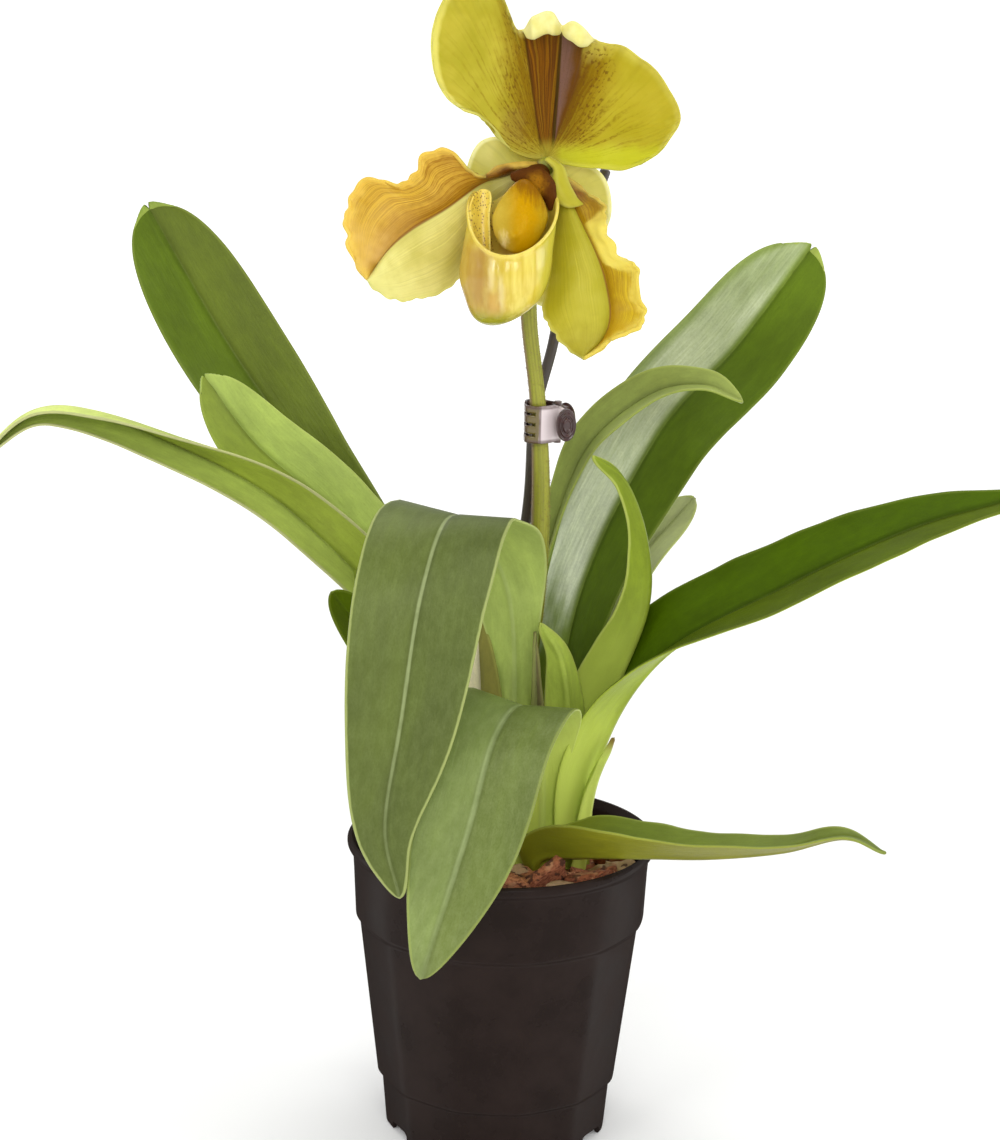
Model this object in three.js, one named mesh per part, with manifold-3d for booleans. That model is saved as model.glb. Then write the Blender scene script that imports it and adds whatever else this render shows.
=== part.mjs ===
// A slipper orchid in its round nursery pot: bark, two fans of leaves, a bloom on a staked stem and a claw clip.
// Millimetres. X to the right, Y away from the viewer, Z up. The origin is the centre of the pot's underside.
import * as THREE from "three";
import { ConvexGeometry } from "three/addons/geometries/ConvexGeometry.js";
import { mergeVertices } from "three/addons/utils/BufferGeometryUtils.js";
import Module from "manifold-3d";

const wasm = await Module();
wasm.setup();

// Main dimensions
const CLEAR = 0.3; // gap left between pieces that touch
const POT_HEIGHT = 118;
const RIM_RADIUS = 60;
const POT_WALL = 1.5;
const POT_SIDES = 12; // soft flats round the wall
const POT_COLUMNS = 36;
const FLAT_TURN = 11.5; // degrees from the front to the first corner between flats
const FLOOR_TOP = 6;
const UNDERSIDE_RISE = 4; // height of the ring-shaped recess under the floor
const FOOT_PAD_RADIUS = 16; // flat middle of the underside
const BARK_TOP = 106;
const CHIP_TOP = 113.5; // no chip stands higher
const CHIP_COUNT = 34;
const CROWN_FOOT = 98; // height at which the leaves and the flower stem start
const CROWN_POCKET = [33, 21]; // half length and half breadth of the hollow in the bark that they stand in
const CROWN_AT = [13, 0];
const BLADE_RIB = 1.5; // leaf thickness along the midrib
const BLADE_EDGE = 0.9; // leaf thickness at the margins
const PETAL_THICKNESS = 0.9;
const STAKE_RADIUS = 2;
const CLIP_HEIGHT = 13;
const CLIP_WALL = 1.1;
const CLIP_PIN_RADIUS = 0.8;
const SPRING_RADIUS = 1.6;
const SPRING_WIRE = 0.6;

const point = (p) => new THREE.Vector3(p[0], p[1], p[2]);
const radians = THREE.MathUtils.degToRad;

// Solids from three.js geometry, and back
function solid(geometry) {
  const bare = geometry.clone();
  bare.deleteAttribute("normal");
  bare.deleteAttribute("uv");
  const merged = mergeVertices(bare, 1e-4);
  return new wasm.Manifold(
    new wasm.Mesh({
      numProp: 3,
      vertProperties: new Float32Array(merged.attributes.position.array),
      triVerts: new Uint32Array(merged.index.array),
    }),
  );
}

function indexed(points, triangles) {
  const geometry = new THREE.BufferGeometry().setFromPoints(points);
  geometry.setIndex(triangles);
  return geometry;
}

function geometryOf(body) {
  const mesh = body.getMesh();
  const geometry = new THREE.BufferGeometry();
  geometry.setAttribute("position", new THREE.BufferAttribute(new Float32Array(mesh.vertProperties), 3));
  geometry.setIndex(new THREE.BufferAttribute(new Uint32Array(mesh.triVerts), 1));
  return geometry;
}

function largest(body) {
  return body.decompose().reduce((a, b) => (a.volume() >= b.volume() ? a : b));
}

// Smooth curve through equally spaced values, t from 0 to 1
function along(values, t) {
  const last = values.length - 1;
  if (last === 0) return values[0];
  const x = Math.min(Math.max(t, 0), 1) * last;
  const i = Math.min(Math.floor(x), last - 1);
  const u = x - i;
  const b = values[i];
  const c = values[i + 1];
  const a = i > 0 ? values[i - 1] : 2 * b - c;
  const d = i + 2 <= last ? values[i + 2] : 2 * c - b;
  const linear = (c - a) * u;
  const square = (2 * a - 5 * b + 4 * c - d) * u * u;
  const cube = (3 * b - a - 3 * c + d) * u * u * u;
  return (2 * b + linear + square + cube) / 2;
}

const curve = (points) => new THREE.CatmullRomCurve3(points.map(point), false, "catmullrom", 0.5);

// A closed body from a sheet of points: both faces have the same triangles, and the open edges get walls.
// extra swells the body by that much on both faces and past its margins.
function thicken(points, triangles, half, extra = 0) {
  const sheet = indexed(points, triangles);
  sheet.computeVertexNormals();
  const normals = points.map((_, i) => new THREE.Vector3().fromBufferAttribute(sheet.attributes.normal, i));
  const count = points.length;
  const faces = [];
  const open = new Map();
  for (let i = 0; i < triangles.length; i += 3) {
    const [a, b, c] = triangles.slice(i, i + 3);
    faces.push(a, b, c, count + c, count + b, count + a);
    for (const [from, to] of [[a, b], [b, c], [c, a]]) {
      if (!open.delete(to + "," + from)) open.set(from + "," + to, [from, to]);
    }
  }
  const outward = points.map(() => new THREE.Vector3());
  for (const [from, to] of open.values()) {
    faces.push(to, from, count + from, to, count + from, count + to);
    const edge = points[to].clone().sub(points[from]).normalize();
    for (const i of [from, to]) outward[i].add(edge.clone().cross(normals[i]));
  }
  const all = [];
  for (const side of [1, -1])
    for (let i = 0; i < count; i++) {
      const place = points[i].clone().addScaledVector(outward[i].normalize(), extra);
      all.push(place.addScaledVector(normals[i], side * (half(i) + extra)));
    }
  return solid(indexed(all, faces));
}

// Triangles of a grid of rows by columns; a closed grid joins its last column to its first
function gridTriangles(rows, columns, closed = false) {
  const triangles = [];
  const across = closed ? columns : columns - 1;
  for (let i = 0; i + 1 < rows; i++)
    for (let j = 0; j < across; j++) {
      const a = i * columns + j;
      const b = i * columns + ((j + 1) % columns);
      triangles.push(a, b, b + columns, a, b + columns, a + columns);
    }
  return triangles;
}

// Leaf blades
// points: the midrib from the crown to the tip. face: the way the upper side looks, from base to tip.
// fold: how far each half turns up from flat at the midrib, in degrees. curl: how much more by its margin.
function bladePoint(leaf, rib, t, s) {
  const centre = rib.getPointAt(t);
  const tangent = rib.getTangentAt(t);
  const faces = leaf.face.map((f) => point(f).normalize().toArray());
  const face = new THREE.Vector3(...[0, 1, 2].map((k) => along(faces.map((f) => f[k]), t)));
  const up = face.addScaledVector(tangent, -face.dot(tangent)).normalize();
  const side = new THREE.Vector3().crossVectors(up, tangent);
  const half = (along(leaf.width, t) / 2) * Math.sqrt(Math.max(0, 1 - t ** leaf.tip));
  const fold = radians(along(leaf.fold, t));
  const curl = Math.max(radians(along(leaf.curl ?? [0], t)), 1e-4);
  const a = Math.abs(s);
  const out = (half * (Math.sin(fold + curl * a) - Math.sin(fold))) / curl;
  const lift = (half * (Math.cos(fold) - Math.cos(fold + curl * a))) / curl;
  centre.addScaledVector(side, Math.sign(s) * out).addScaledVector(up, lift);
  const notch = (leaf.notch ?? 0) * t ** 12 * 4 * a * (1 - a);
  return centre.addScaledVector(tangent, notch);
}

function blade(leaf, extra = 0) {
  const rib = curve(leaf.points);
  rib.arcLengthDivisions = 400;
  const { rows = 14, halfColumns = 3 } = leaf;
  const columns = 2 * halfColumns + 1;
  const points = [];
  const halves = [];
  for (let i = 0; i < rows; i++) {
    const t = 1 - (1 - i / rows) ** 1.5;
    for (let j = 0; j < columns; j++) {
      const s = j / halfColumns - 1;
      points.push(bladePoint(leaf, rib, t, s));
      halves.push((BLADE_RIB + (BLADE_EDGE - BLADE_RIB) * Math.abs(s)) / 2);
    }
  }
  const triangles = gridTriangles(rows, columns);
  const tip = points.push(rib.getPointAt(1)) - 1;
  halves.push(BLADE_EDGE / 2);
  const lastRow = (rows - 1) * columns;
  for (let j = 0; j + 1 < columns; j++) triangles.push(lastRow + j, lastRow + j + 1, tip);
  return thicken(points, triangles, (i) => halves[i], extra);
}

// The left fan grows round the flower stem; the right fan stands beside it.
const LEAVES = {
  leaf_low_right: {
    points: [
      [13, -13, 95], [15, -18, 114], [30, -31, 121], [54, -39, 124], [78, -46, 126], [104, -50, 130],
      [126, -52, 136], [141, -53, 131],
    ],
    face: [[0.1, 0.2, 0.9], [0, 0.2, 1], [0, 0.1, 1], [0, 0.1, 1], [0.1, 0, 1], [0.3, -0.3, 0.9]],
    width: [12, 22, 34, 31, 25, 21, 15, 8], fold: [60, 58, 46, 36, 28, 22, 20], tip: 4, halfColumns: 2,
  },
  leaf_front_low: {
    points: [[15, -6, 95], [15, -14, 148], [8, -35, 180], [-3, -61, 177], [-13, -75, 142], [-28, -82, 92]],
    face: [[0.2, 1, 0.1], [0.1, 0.8, 0.5], [0, 0, 1], [-0.1, -0.8, 0.6], [-0.1, -1, 0.1], [-0.1, -1, -0.2]],
    width: [14, 26, 36, 42, 42, 28], fold: [25, 22, 5, 5, 8], tip: 5, rows: 16,
  },
  leaf_long_right: {
    points: [[33, 0, 95], [38, -4, 150], [60, -13, 193], [102, -26, 223], [148, -40, 250], [188, -50, 265]],
    face: [[-0.9, 0, 0.2], [-0.75, 0, 0.65], [-0.35, -0.5, 0.8], [-0.2, -0.7, 0.7]],
    width: [24, 38, 43, 41, 34, 20], fold: [60, 55, 34, 25, 20], tip: 4,
  },
  leaf_small_centre: {
    points: [[21, -6, 95], [25, -9, 150], [23, -14, 190], [13.5, -18, 208]],
    face: [[-0.3, 0.9, 0.1], [-0.3, 0.9, 0.1]],
    width: [12, 18, 20, 12], fold: [30, 32, 32], tip: 3, rows: 10, halfColumns: 2,
  },
  leaf_curled_tip: {
    points: [
      [28, 0, 95], [31, -2, 140], [41, -6, 176], [53, -10, 212], [52, -11, 238], [42, -12, 261],
      [30, -12, 271],
    ],
    face: [[-0.7, 0.6, 0.1], [-0.6, 0.7, 0.1], [-0.8, 0.4, 0.1]],
    width: [18, 28, 36, 40, 34, 27, 20], fold: [60, 60, 60, 50, 38, 15], tip: 5,
  },
  leaf_front_arch: {
    points: [
      [-3, -4, 95], [-3, -9, 160], [-6, -15, 222], [-19, -40, 252], [-30, -66, 233], [-38, -76, 180],
      [-36, -79, 123],
    ],
    face: [
      [0.1, 1, 0.1], [0.1, 1, 0.2], [-0.05, 0.6, 0.8], [-0.14, -0.2, 1], [-0.05, -0.9, 0.4], [0, -1, 0],
      [0, -1, -0.2],
    ],
    width: [16, 32, 43, 50, 48, 40, 24], fold: [20, 18, 8, 5, 5, 8, 12], tip: 6, rows: 18,
  },
  leaf_tall_right: {
    points: [[22, 5, 95], [28, 17, 196], [58, 38, 266], [88, 54, 305], [115, 66, 340]],
    face: [[-0.8, -0.3, 0.2], [-0.5, -0.7, 0.3], [-0.2, -0.9, 0.4], [-0.1, -0.9, 0.4]],
    width: [14, 34, 45, 48, 47], fold: [60, 25, 16, 14], tip: 14, notch: 4,
  },
  leaf_arching_right: {
    points: [
      [7, 7, 95], [12, 13, 190], [21, 15, 236], [34, 12, 270], [54, 8, 291], [72, 3, 296],
      [86, -2, 291],
    ],
    face: [[-0.9, 0, 0.2], [-0.8, -0.3, 0.3], [-0.5, -0.6, 0.5], [-0.1, -0.5, 0.9]],
    width: [10, 9, 8, 12, 20, 26, 20], fold: [60, 40, 25], tip: 6, halfColumns: 2,
  },
  leaf_far_left: {
    points: [
      [-12, 4, 95], [-29, 0, 181], [-77, -8, 238], [-124, -16, 270], [-168, -22, 286], [-194, -25, 270],
    ],
    face: [[0.9, 0.1, 0.2], [0.4, -0.6, 0.6], [0.1, -0.85, 0.5], [-0.1, -0.85, 0], [-0.2, -0.75, -0.4]],
    width: [20, 34, 36, 36, 34, 28], fold: [60, 40, 30, 40, 50], curl: [0, 0, 20, 50, 60], tip: 6,
  },
  leaf_mid_left: {
    points: [[-9, 5, 95], [-33, 4, 196], [-66, 6, 242], [-97, 4, 272], [-116, 0, 298]],
    face: [[0.9, 0, 0.2], [0.5, -0.8, 0.4], [0.15, -0.9, 0.4]],
    width: [16, 29, 32, 33, 31], fold: [60, 30, 24, 18], tip: 10, notch: 3, halfColumns: 2,
  },
  leaf_tall_left: {
    points: [[-6, 7, 95], [-36, 16, 204], [-79, 28, 266], [-110, 40, 306], [-142, 54, 352]],
    face: [[0.9, 0, 0.2], [0.6, -0.7, 0.3], [0.15, -0.95, 0.3], [0.1, -0.95, 0.3]],
    width: [14, 30, 33, 38, 42], fold: [60, 30, 14, 12], tip: 12, notch: 4, halfColumns: 2,
  },
  leaf_short_left: {
    points: [[-15, 1, 95], [-28, -8, 154], [-47, -20, 195], [-65, -30, 222]],
    face: [[0.9, 0.1, 0.2], [0.3, -0.8, 0.5]],
    width: [18, 26, 33, 34], fold: [50, 30, 20], tip: 8, rows: 12, halfColumns: 2,
  },
  leaf_back_right: {
    points: [[27, 10, 95], [31, 17, 168], [51, 36, 213], [80, 57, 241]],
    face: [[-0.8, -0.3, 0.2], [-0.4, -0.8, 0.3]],
    width: [14, 28, 36, 34], fold: [60, 30, 20], tip: 8, rows: 12, halfColumns: 2,
  },
  sheath_dry_tip: {
    points: [[37, -4, 95], [40, -7, 138], [44, -10, 161]],
    face: [[-0.9, 0, 0.2], [-0.9, 0, 0.2]],
    width: [9, 8, 3], fold: [50], tip: 2, rows: 7, halfColumns: 2,
  },
};

// Stem, ovary and stake: rings along a curve, closed at both ends
function rod(path, radius, sides, steps, extra = 0) {
  const line = curve(path);
  const frames = line.computeFrenetFrames(steps, false);
  const points = [];
  for (let i = 0; i <= steps; i++)
    for (let j = 0; j < sides; j++) {
      const angle = (2 * Math.PI * j) / sides;
      const r = along(radius, i / steps) + extra;
      const spoke = frames.normals[i].clone().multiplyScalar(r * Math.cos(angle));
      spoke.addScaledVector(frames.binormals[i], r * Math.sin(angle));
      points.push(line.getPointAt(i / steps).add(spoke));
    }
  const triangles = gridTriangles(steps + 1, sides, true);
  const start = points.push(line.getPointAt(0)) - 1;
  const end = points.push(line.getPointAt(1)) - 1;
  for (let j = 0; j < sides; j++) {
    const next = (j + 1) % sides;
    triangles.push(start, next, j, end, steps * sides + j, steps * sides + next);
  }
  return solid(indexed(points, triangles));
}

const STEM_PATH = [
  [0, 4, 94], [3, 2, 131], [7, -1, 173], [11, -5, 214], [12, -8, 253], [10, -11, 290],
  [6, -15, 322], [6, -13, 345], [9, -10, 364], [12, -14, 376], [12, -22, 379.5], [10, -29, 378],
];
const STEM_RADII = [3.9, 3.7, 3.6, 3.5, 3.4, 3.3, 3.2, 2.9, 2.9, 3.1, 3.3, 3.3];
const STAKE_PATH = [
  [-14, 13, 20], [-3, 6, 175], [6, 0, 245], [8.8, -3.4, 283], [13, 0, 310], [20, 5, 336], [33, 9, 374],
];

// Pot
// Radius and height pairs, from the middle of the underside up the outside to the rim, and for the inside.
const POT_OUTSIDE = [
  [0, 0], [FOOT_PAD_RADIUS, 0], [FOOT_PAD_RADIUS + 1.5, UNDERSIDE_RISE], [41, UNDERSIDE_RISE],
  [42.5, 0], [44.4, 0], [45.4, 20.6], [46, 21.6], [54.4, 85.4], [56.1, 87.2], [57.6, 112.8],
  [59.4, 114.2], [RIM_RADIUS, 115.4], [RIM_RADIUS, 117], [59.2, POT_HEIGHT], [0, POT_HEIGHT],
];
const POT_INSIDE = [
  [0, FLOOR_TOP], [43.3, FLOOR_TOP], [52.8, 85], [54.5, 87], [56.5, 115], [58.2, POT_HEIGHT],
  [58.2, POT_HEIGHT + 4], [0, POT_HEIGHT + 4],
];

// How far the wall is drawn in from a true circle at this place, as a share of the radius
function flat(x, y, z) {
  const step = (2 * Math.PI) / POT_SIDES;
  const turn = Math.atan2(x, -y) - radians(FLAT_TURN);
  const fromCorner = turn - step * Math.floor(turn / step);
  const inward = 1 - Math.cos(step / 2) / Math.cos(fromCorner - step / 2);
  const depth = z < 86.5 ? 0.6 : z < 113 ? 0.25 : 0;
  return 1 - depth * inward;
}

function turned(profile, shrink = 0) {
  const lathe = new THREE.LatheGeometry(
    profile.map(([r, z]) => new THREE.Vector2(Math.max(0, r - shrink), z)),
    POT_COLUMNS,
    radians(FLAT_TURN),
  );
  lathe.rotateX(Math.PI / 2);
  const place = lathe.attributes.position;
  for (let i = 0; i < place.count; i++) {
    const [x, y, z] = [place.getX(i), place.getY(i), place.getZ(i)];
    const k = flat(x, y, z);
    place.setXYZ(i, x * k, y * k, z);
  }
  return solid(lathe);
}

function cylinder(radius, length, sides, at) {
  const geometry = new THREE.CylinderGeometry(radius, radius, length, sides);
  geometry.rotateX(Math.PI / 2);
  geometry.translate(...at);
  return solid(geometry);
}

function box(size, at, turn = 0) {
  const geometry = new THREE.BoxGeometry(...size);
  geometry.translate(...at);
  geometry.rotateZ(turn);
  return solid(geometry);
}

function pot() {
  let body = turned(POT_OUTSIDE).subtract(turned(POT_INSIDE));
  for (let i = 0; i < 6; i++) {
    const turn = (i * Math.PI) / 3;
    const drain = cylinder(4, 8, 12, [29 * Math.cos(turn), 29 * Math.sin(turn), 5]);
    const arch = box([10, 13, 7], [42.6, 0, 0], turn + Math.PI / 6);
    body = body.subtract(drain).subtract(arch);
  }
  return body;
}

// Bark: the filled pot's mass with loose chips sunk in its top
function random(seed) {
  let state = seed;
  return () => {
    state = (state * 1664525 + 1013904223) % 4294967296;
    return state / 4294967296;
  };
}

function chip(next) {
  const size = [9 + 8 * next(), 6 + 5 * next(), 4 + 2.5 * next()];
  const corners = [];
  for (const x of [-0.5, 0.5])
    for (const y of [-0.5, 0.5])
      for (const z of [-0.5, 0.5]) {
        corners.push(point([x, y, z].map((v, k) => (v + (next() - 0.5) * 0.45) * size[k])));
      }
  const geometry = new ConvexGeometry(corners);
  geometry.rotateX((next() - 0.5) * 0.9);
  geometry.rotateY((next() - 0.5) * 0.9);
  geometry.rotateZ(next() * 2 * Math.PI);
  return geometry;
}

function bark() {
  const next = random(11);
  const across = 3 * RIM_RADIUS;
  const bottom = FLOOR_TOP + CLEAR;
  const slab = box([across, across, CHIP_TOP - bottom], [0, 0, (CHIP_TOP + bottom) / 2]);
  const room = turned(POT_INSIDE, CLEAR).intersect(slab);
  let body = room.intersect(box([across, across, BARK_TOP], [0, 0, BARK_TOP / 2]));
  for (let i = 0; i < CHIP_COUNT; i++) {
    const turn = i * 2.4;
    const reach = 53 * Math.sqrt((i + 0.5) / CHIP_COUNT);
    const height = BARK_TOP + 0.4 + 2.4 * next();
    body = body.add(solid(chip(next).translate(reach * Math.cos(turn), reach * Math.sin(turn), height)));
  }
  return body.intersect(room);
}

// Bloom
// Its own frame: x to the right, y away from the viewer, z up, from the point where all its parts meet.
const BLOOM_AT = [11, -31.6, 381.7];
const BLOOM_TILT = [radians(-4.3), radians(-1.2), 0];

function placed(body) {
  return body.rotate(BLOOM_TILT.map(THREE.MathUtils.radToDeg)).translate(BLOOM_AT);
}

// Dorsal sepal: the outer margin from the lower left round the top to the lower right, and the two lower edges
const DORSAL_MARGIN = [
  [-29, 16.5], [-35, 21], [-39, 28.5], [-41, 39], [-40, 47.5], [-37, 55.5], [-32, 60], [-25, 62],
  [-18.5, 59], [-15, 53], [-11, 45.5], [-7.4, 43.5], [-4.2, 47.8], [0.4, 50.3], [4.3, 45.2],
  [8.4, 47.2], [13, 41.5], [20, 39.5], [26.5, 39], [32.5, 35], [38, 31], [42.5, 24.5], [46, 18],
  [46.5, 12.5], [43, 7], [38.5, 2], [32.5, -2],
];
const DORSAL_LEFT = [[0, 0], [-5, 0], [-10, 1.5], [-14.5, 4.5], [-18.5, 10], [-23.5, 14.5], [-29, 16.5]];
const DORSAL_RIGHT = [[0, 0], [6.5, -2], [13, -3], [19, -3.3], [26, -4], [32.5, -2]];
const DORSAL_COLUMNS = 34;
const DORSAL_ROWS = 6;

const pair = (list, t) => [0, 1].map((k) => along(list.map((p) => p[k]), t));

function dorsalDepth(x, z, u, v) {
  const bowl = 4 - 0.15 * x - 0.004 * (x - 5) ** 2 - 0.0015 * z * z;
  const channel = 3.5 * Math.exp(-(((x - 1 - 0.08 * z) / 8) ** 2)) * v;
  const wave = 1.6 * Math.sin(2 * Math.PI * 5 * u) * v ** 4;
  const rolled = 5 * Math.exp(-(((u - 0.53) / 0.07) ** 2)) * v ** 8;
  return bowl + channel + wave - rolled;
}

function dorsalSepal(extra = 0) {
  const points = [];
  for (let i = 1; i <= DORSAL_ROWS; i++) {
    const v = i / DORSAL_ROWS;
    for (let j = 0; j <= DORSAL_COLUMNS; j++) {
      const u = j / DORSAL_COLUMNS;
      const margin = pair(DORSAL_MARGIN, u);
      const left = pair(DORSAL_LEFT, v);
      const right = pair(DORSAL_RIGHT, v);
      const [x, z] = [0, 1].map((k) => v * margin[k]
        + (1 - u) * (left[k] - v * DORSAL_MARGIN[0][k])
        + u * (right[k] - v * DORSAL_MARGIN.at(-1)[k]));
      points.push(point([x, dorsalDepth(x, z, u, v), z]));
    }
  }
  const triangles = gridTriangles(DORSAL_ROWS, DORSAL_COLUMNS + 1);
  const base = points.push(point([0, dorsalDepth(0, 0, 0, 0), 0])) - 1;
  for (let j = 0; j < DORSAL_COLUMNS; j++) triangles.push(base, j + 1, j);
  return thicken(points, triangles, () => PETAL_THICKNESS / 2, extra);
}

// Petals: two margins and a midline, each from the base to the tip
const LEFT_PETAL = {
  upper: [
    [-4, 3, -2], [-11, 1, -2], [-17, -1, -3.5], [-23, -4, -6.5], [-28, -7, -4], [-33, -10, 1.5],
    [-39, -11, 2.5], [-44, -8, 0], [-46, -7, -6], [-52, -9, -9], [-58, -11, -8], [-63, -10, -7.5],
    [-68, -8, -13], [-70.5, -10, -20], [-69.5, -13, -28], [-67.5, -13, -36], [-63, -14, -42],
  ],
  middle: [
    [-4, 4, -4], [-14, 2, -6], [-23.5, -3, -9], [-35, -8, -17], [-47.5, -11, -24.5],
    [-56, -13, -32], [-63, -14, -42],
  ],
  lower: [
    [-4, 6, -6], [-12, 6, -13], [-18, 6, -22], [-26, 4, -33], [-32, 1, -43], [-38, -3, -47],
    [-44, -6, -48.5], [-52, -9, -49.5], [-60, -13, -46], [-63, -14, -42],
  ],
  bulge: 2.5,
};
const RIGHT_PETAL = {
  upper: [
    [2, 1, -2], [6, -2, -6], [12, -2, -11], [17, -1, -14], [20.5, -2, -16.5], [20, -5, -20.5],
    [20, -9, -25], [23, -7, -30], [25, -9, -34.5], [31, -14, -37], [31.5, -18, -41], [31, -19, -47],
    [34, -19, -54], [30, -24, -59], [24, -25, -61], [19, -24, -65], [12.5, -23, -69],
  ],
  middle: [
    [3, 2, -3], [6, -1, -10], [10, -4, -18], [17.5, -9, -33.5], [21, -14, -44.5], [22, -19, -55],
    [19, -22, -63], [12.5, -23, -69],
  ],
  lower: [
    [4, 4, -5], [4, 4, -14], [2.5, 3, -21], [1, 0, -31], [0, -4, -43], [-1, -10, -54],
    [3, -17, -61], [7, -20, -65.5], [12.5, -23, -69],
  ],
  bulge: 2,
};
const PETAL_ROWS = 18;
const PETAL_HALF_COLUMNS = 3;

function petal(shape, extra = 0) {
  const upper = curve(shape.upper);
  const middle = curve(shape.middle);
  const lower = curve(shape.lower);
  const columns = 2 * PETAL_HALF_COLUMNS + 1;
  const points = [];
  for (let i = 0; i < PETAL_ROWS; i++) {
    const t = i / PETAL_ROWS;
    const spine = middle.getPointAt(t);
    for (let j = 0; j < columns; j++) {
      const s = j / PETAL_HALF_COLUMNS - 1;
      const edge = (s < 0 ? lower : upper).getPointAt(t);
      const a = Math.abs(s);
      const place = spine.clone().lerp(edge, a);
      place.y -= shape.bulge * 4 * a * (1 - a);
      points.push(place);
    }
  }
  const triangles = gridTriangles(PETAL_ROWS, columns);
  const tip = points.push(middle.getPointAt(1)) - 1;
  const lastRow = (PETAL_ROWS - 1) * columns;
  for (let j = 0; j + 1 < columns; j++) triangles.push(lastRow + j, lastRow + j + 1, tip);
  return thicken(points, triangles, () => PETAL_THICKNESS / 2, extra);
}

// Joined lower sepals: a shield behind the bloom
const SYNSEPAL_CENTRE = [-1, 9, -16];
const SYNSEPAL_MARGIN = [
  [0, 7, -1], [-9, 8, 4], [-17, 9, 7], [-24, 9, 5], [-28, 9, -3], [-28, 9, -13], [-23, 9, -26],
  [-15, 9, -40], [-6, 8, -50], [1, 8, -52], [7, 8, -46], [13, 8, -37], [19, 7, -28], [22.5, 6, -20],
  [21.5, 6, -10], [17, 6, -4], [9, 6.5, -2],
];

function synsepal(extra = 0) {
  const loop = new THREE.CatmullRomCurve3(SYNSEPAL_MARGIN.map(point), true, "catmullrom", 0.5);
  const columns = 26;
  const rows = 3;
  const points = [];
  for (let i = 1; i <= rows; i++)
    for (let j = 0; j < columns; j++) {
      const share = i / rows;
      const place = point(SYNSEPAL_CENTRE).lerp(loop.getPointAt(j / columns), share);
      place.y += 1.5 * (1 - share * share);
      points.push(place);
    }
  const triangles = gridTriangles(rows, columns, true);
  const centre = points.push(point(SYNSEPAL_CENTRE).add(point([0, 1.5, 0]))) - 1;
  for (let j = 0; j < columns; j++) triangles.push(centre, (j + 1) % columns, j);
  return thicken(points, triangles, () => PETAL_THICKNESS / 2, extra);
}

// Pouch: half width, half depth and centre at each height, from the toe up
const POUCH_TOE = -58;
const POUCH_TOP = -6; // height where the lists below end
const POUCH_HALF_WIDTH = [16.2, 16.6, 16.8, 16.4, 15.6, 14.8, 14];
const POUCH_HALF_DEPTH = [12.6, 13, 13, 12.6, 12, 11.5, 11];
const POUCH_CENTRE_X = [-13, -13.5, -14, -13.5, -12.5, -12, -12];
const POUCH_CENTRE_Y = [-17, -16.5, -16, -14.5, -12.5, -10, -8];
const POUCH_ROUNDING = 0.42; // share of the height over which the toe rounds out
const POUCH_COLUMNS = 20;
const POUCH_ROWS = 9;

function pouchRim(angle) {
  const front = Math.cos(angle);
  return front > 0 ? -16 - 17.5 * front : -16 - 9 * front;
}

function pouch(extra = 0) {
  const points = [];
  for (let i = 1; i <= POUCH_ROWS; i++)
    for (let j = 0; j < POUCH_COLUMNS; j++) {
      const angle = (2 * Math.PI * j) / POUCH_COLUMNS;
      const z = POUCH_TOE + (pouchRim(angle) - POUCH_TOE) * (i / POUCH_ROWS) ** 1.7;
      const t = (z - POUCH_TOE) / (POUCH_TOP - POUCH_TOE);
      const round = Math.sqrt(1 - (1 - Math.min(t / POUCH_ROUNDING, 1)) ** 2);
      const x = along(POUCH_CENTRE_X, t) + round * along(POUCH_HALF_WIDTH, t) * Math.sin(angle);
      const y = along(POUCH_CENTRE_Y, t) - round * along(POUCH_HALF_DEPTH, t) * Math.cos(angle);
      points.push(point([x, y, z]));
    }
  const triangles = gridTriangles(POUCH_ROWS, POUCH_COLUMNS, true);
  const toe = points.push(point([POUCH_CENTRE_X[0], POUCH_CENTRE_Y[0], POUCH_TOE])) - 1;
  for (let j = 0; j < POUCH_COLUMNS; j++) triangles.push(toe, (j + 1) % POUCH_COLUMNS, j);
  return thicken(points, triangles, () => PETAL_THICKNESS / 2, extra);
}

function lump(size, at, sides, tilt = 0, extra = 0) {
  const geometry = new THREE.SphereGeometry(1, sides, Math.round(sides / 2));
  geometry.scale(size[0] + extra, size[1] + extra, size[2] + extra);
  geometry.rotateX(tilt);
  geometry.translate(...at);
  return solid(geometry);
}

// Column with its shield in the mouth of the pouch
function column(extra = 0) {
  return lump([9.3, 3, 12.4], [-9, -13.5, -20.5], 16, radians(-8), extra)
    .add(lump([3.6, 9, 3.8], [-5, -3.5, -8.5], 12, radians(14), extra))
    .add(lump([2.6, 2, 3.2], [-12.5, -15.8, -28], 8, 0, extra));
}

// Claw clip round the stem and the stake, in plan; its pin stands upright
const CLIP_FOOT = 276.5; // height of its lower edge
const CLIP_PIN_AT = [17.5, -7.5];
const FRONT_JAW = [
  [22, -14], [20.4, -11.8], [17.5, -10.5], [14.6, -13.2], [11.4, -15.3], [8.4, -15.1], [6, -13.4],
  [5.4, -9.8],
];
const BACK_JAW = [
  [22, -1], [20.4, -3.2], [17.5, -4.5], [14, -2], [11, 0.3], [8.4, 0.3], [5.9, -1.1], [5.6, -4.6],
];
const JAW_SLOT = [6.2, 1.5]; // reach and height of the gaps between teeth
const KNUCKLE_RADIUS = 2.1;
// Foot and height of each knuckle above the clip's lower edge; the spring's coil fills the middle
const FRONT_KNUCKLES = [[2.9, 1.5], [8.6, 1.5]];
const BACK_KNUCKLES = [[0, 2.6], [10.4, 2.6]];
const COIL_HEIGHT = 3;

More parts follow.
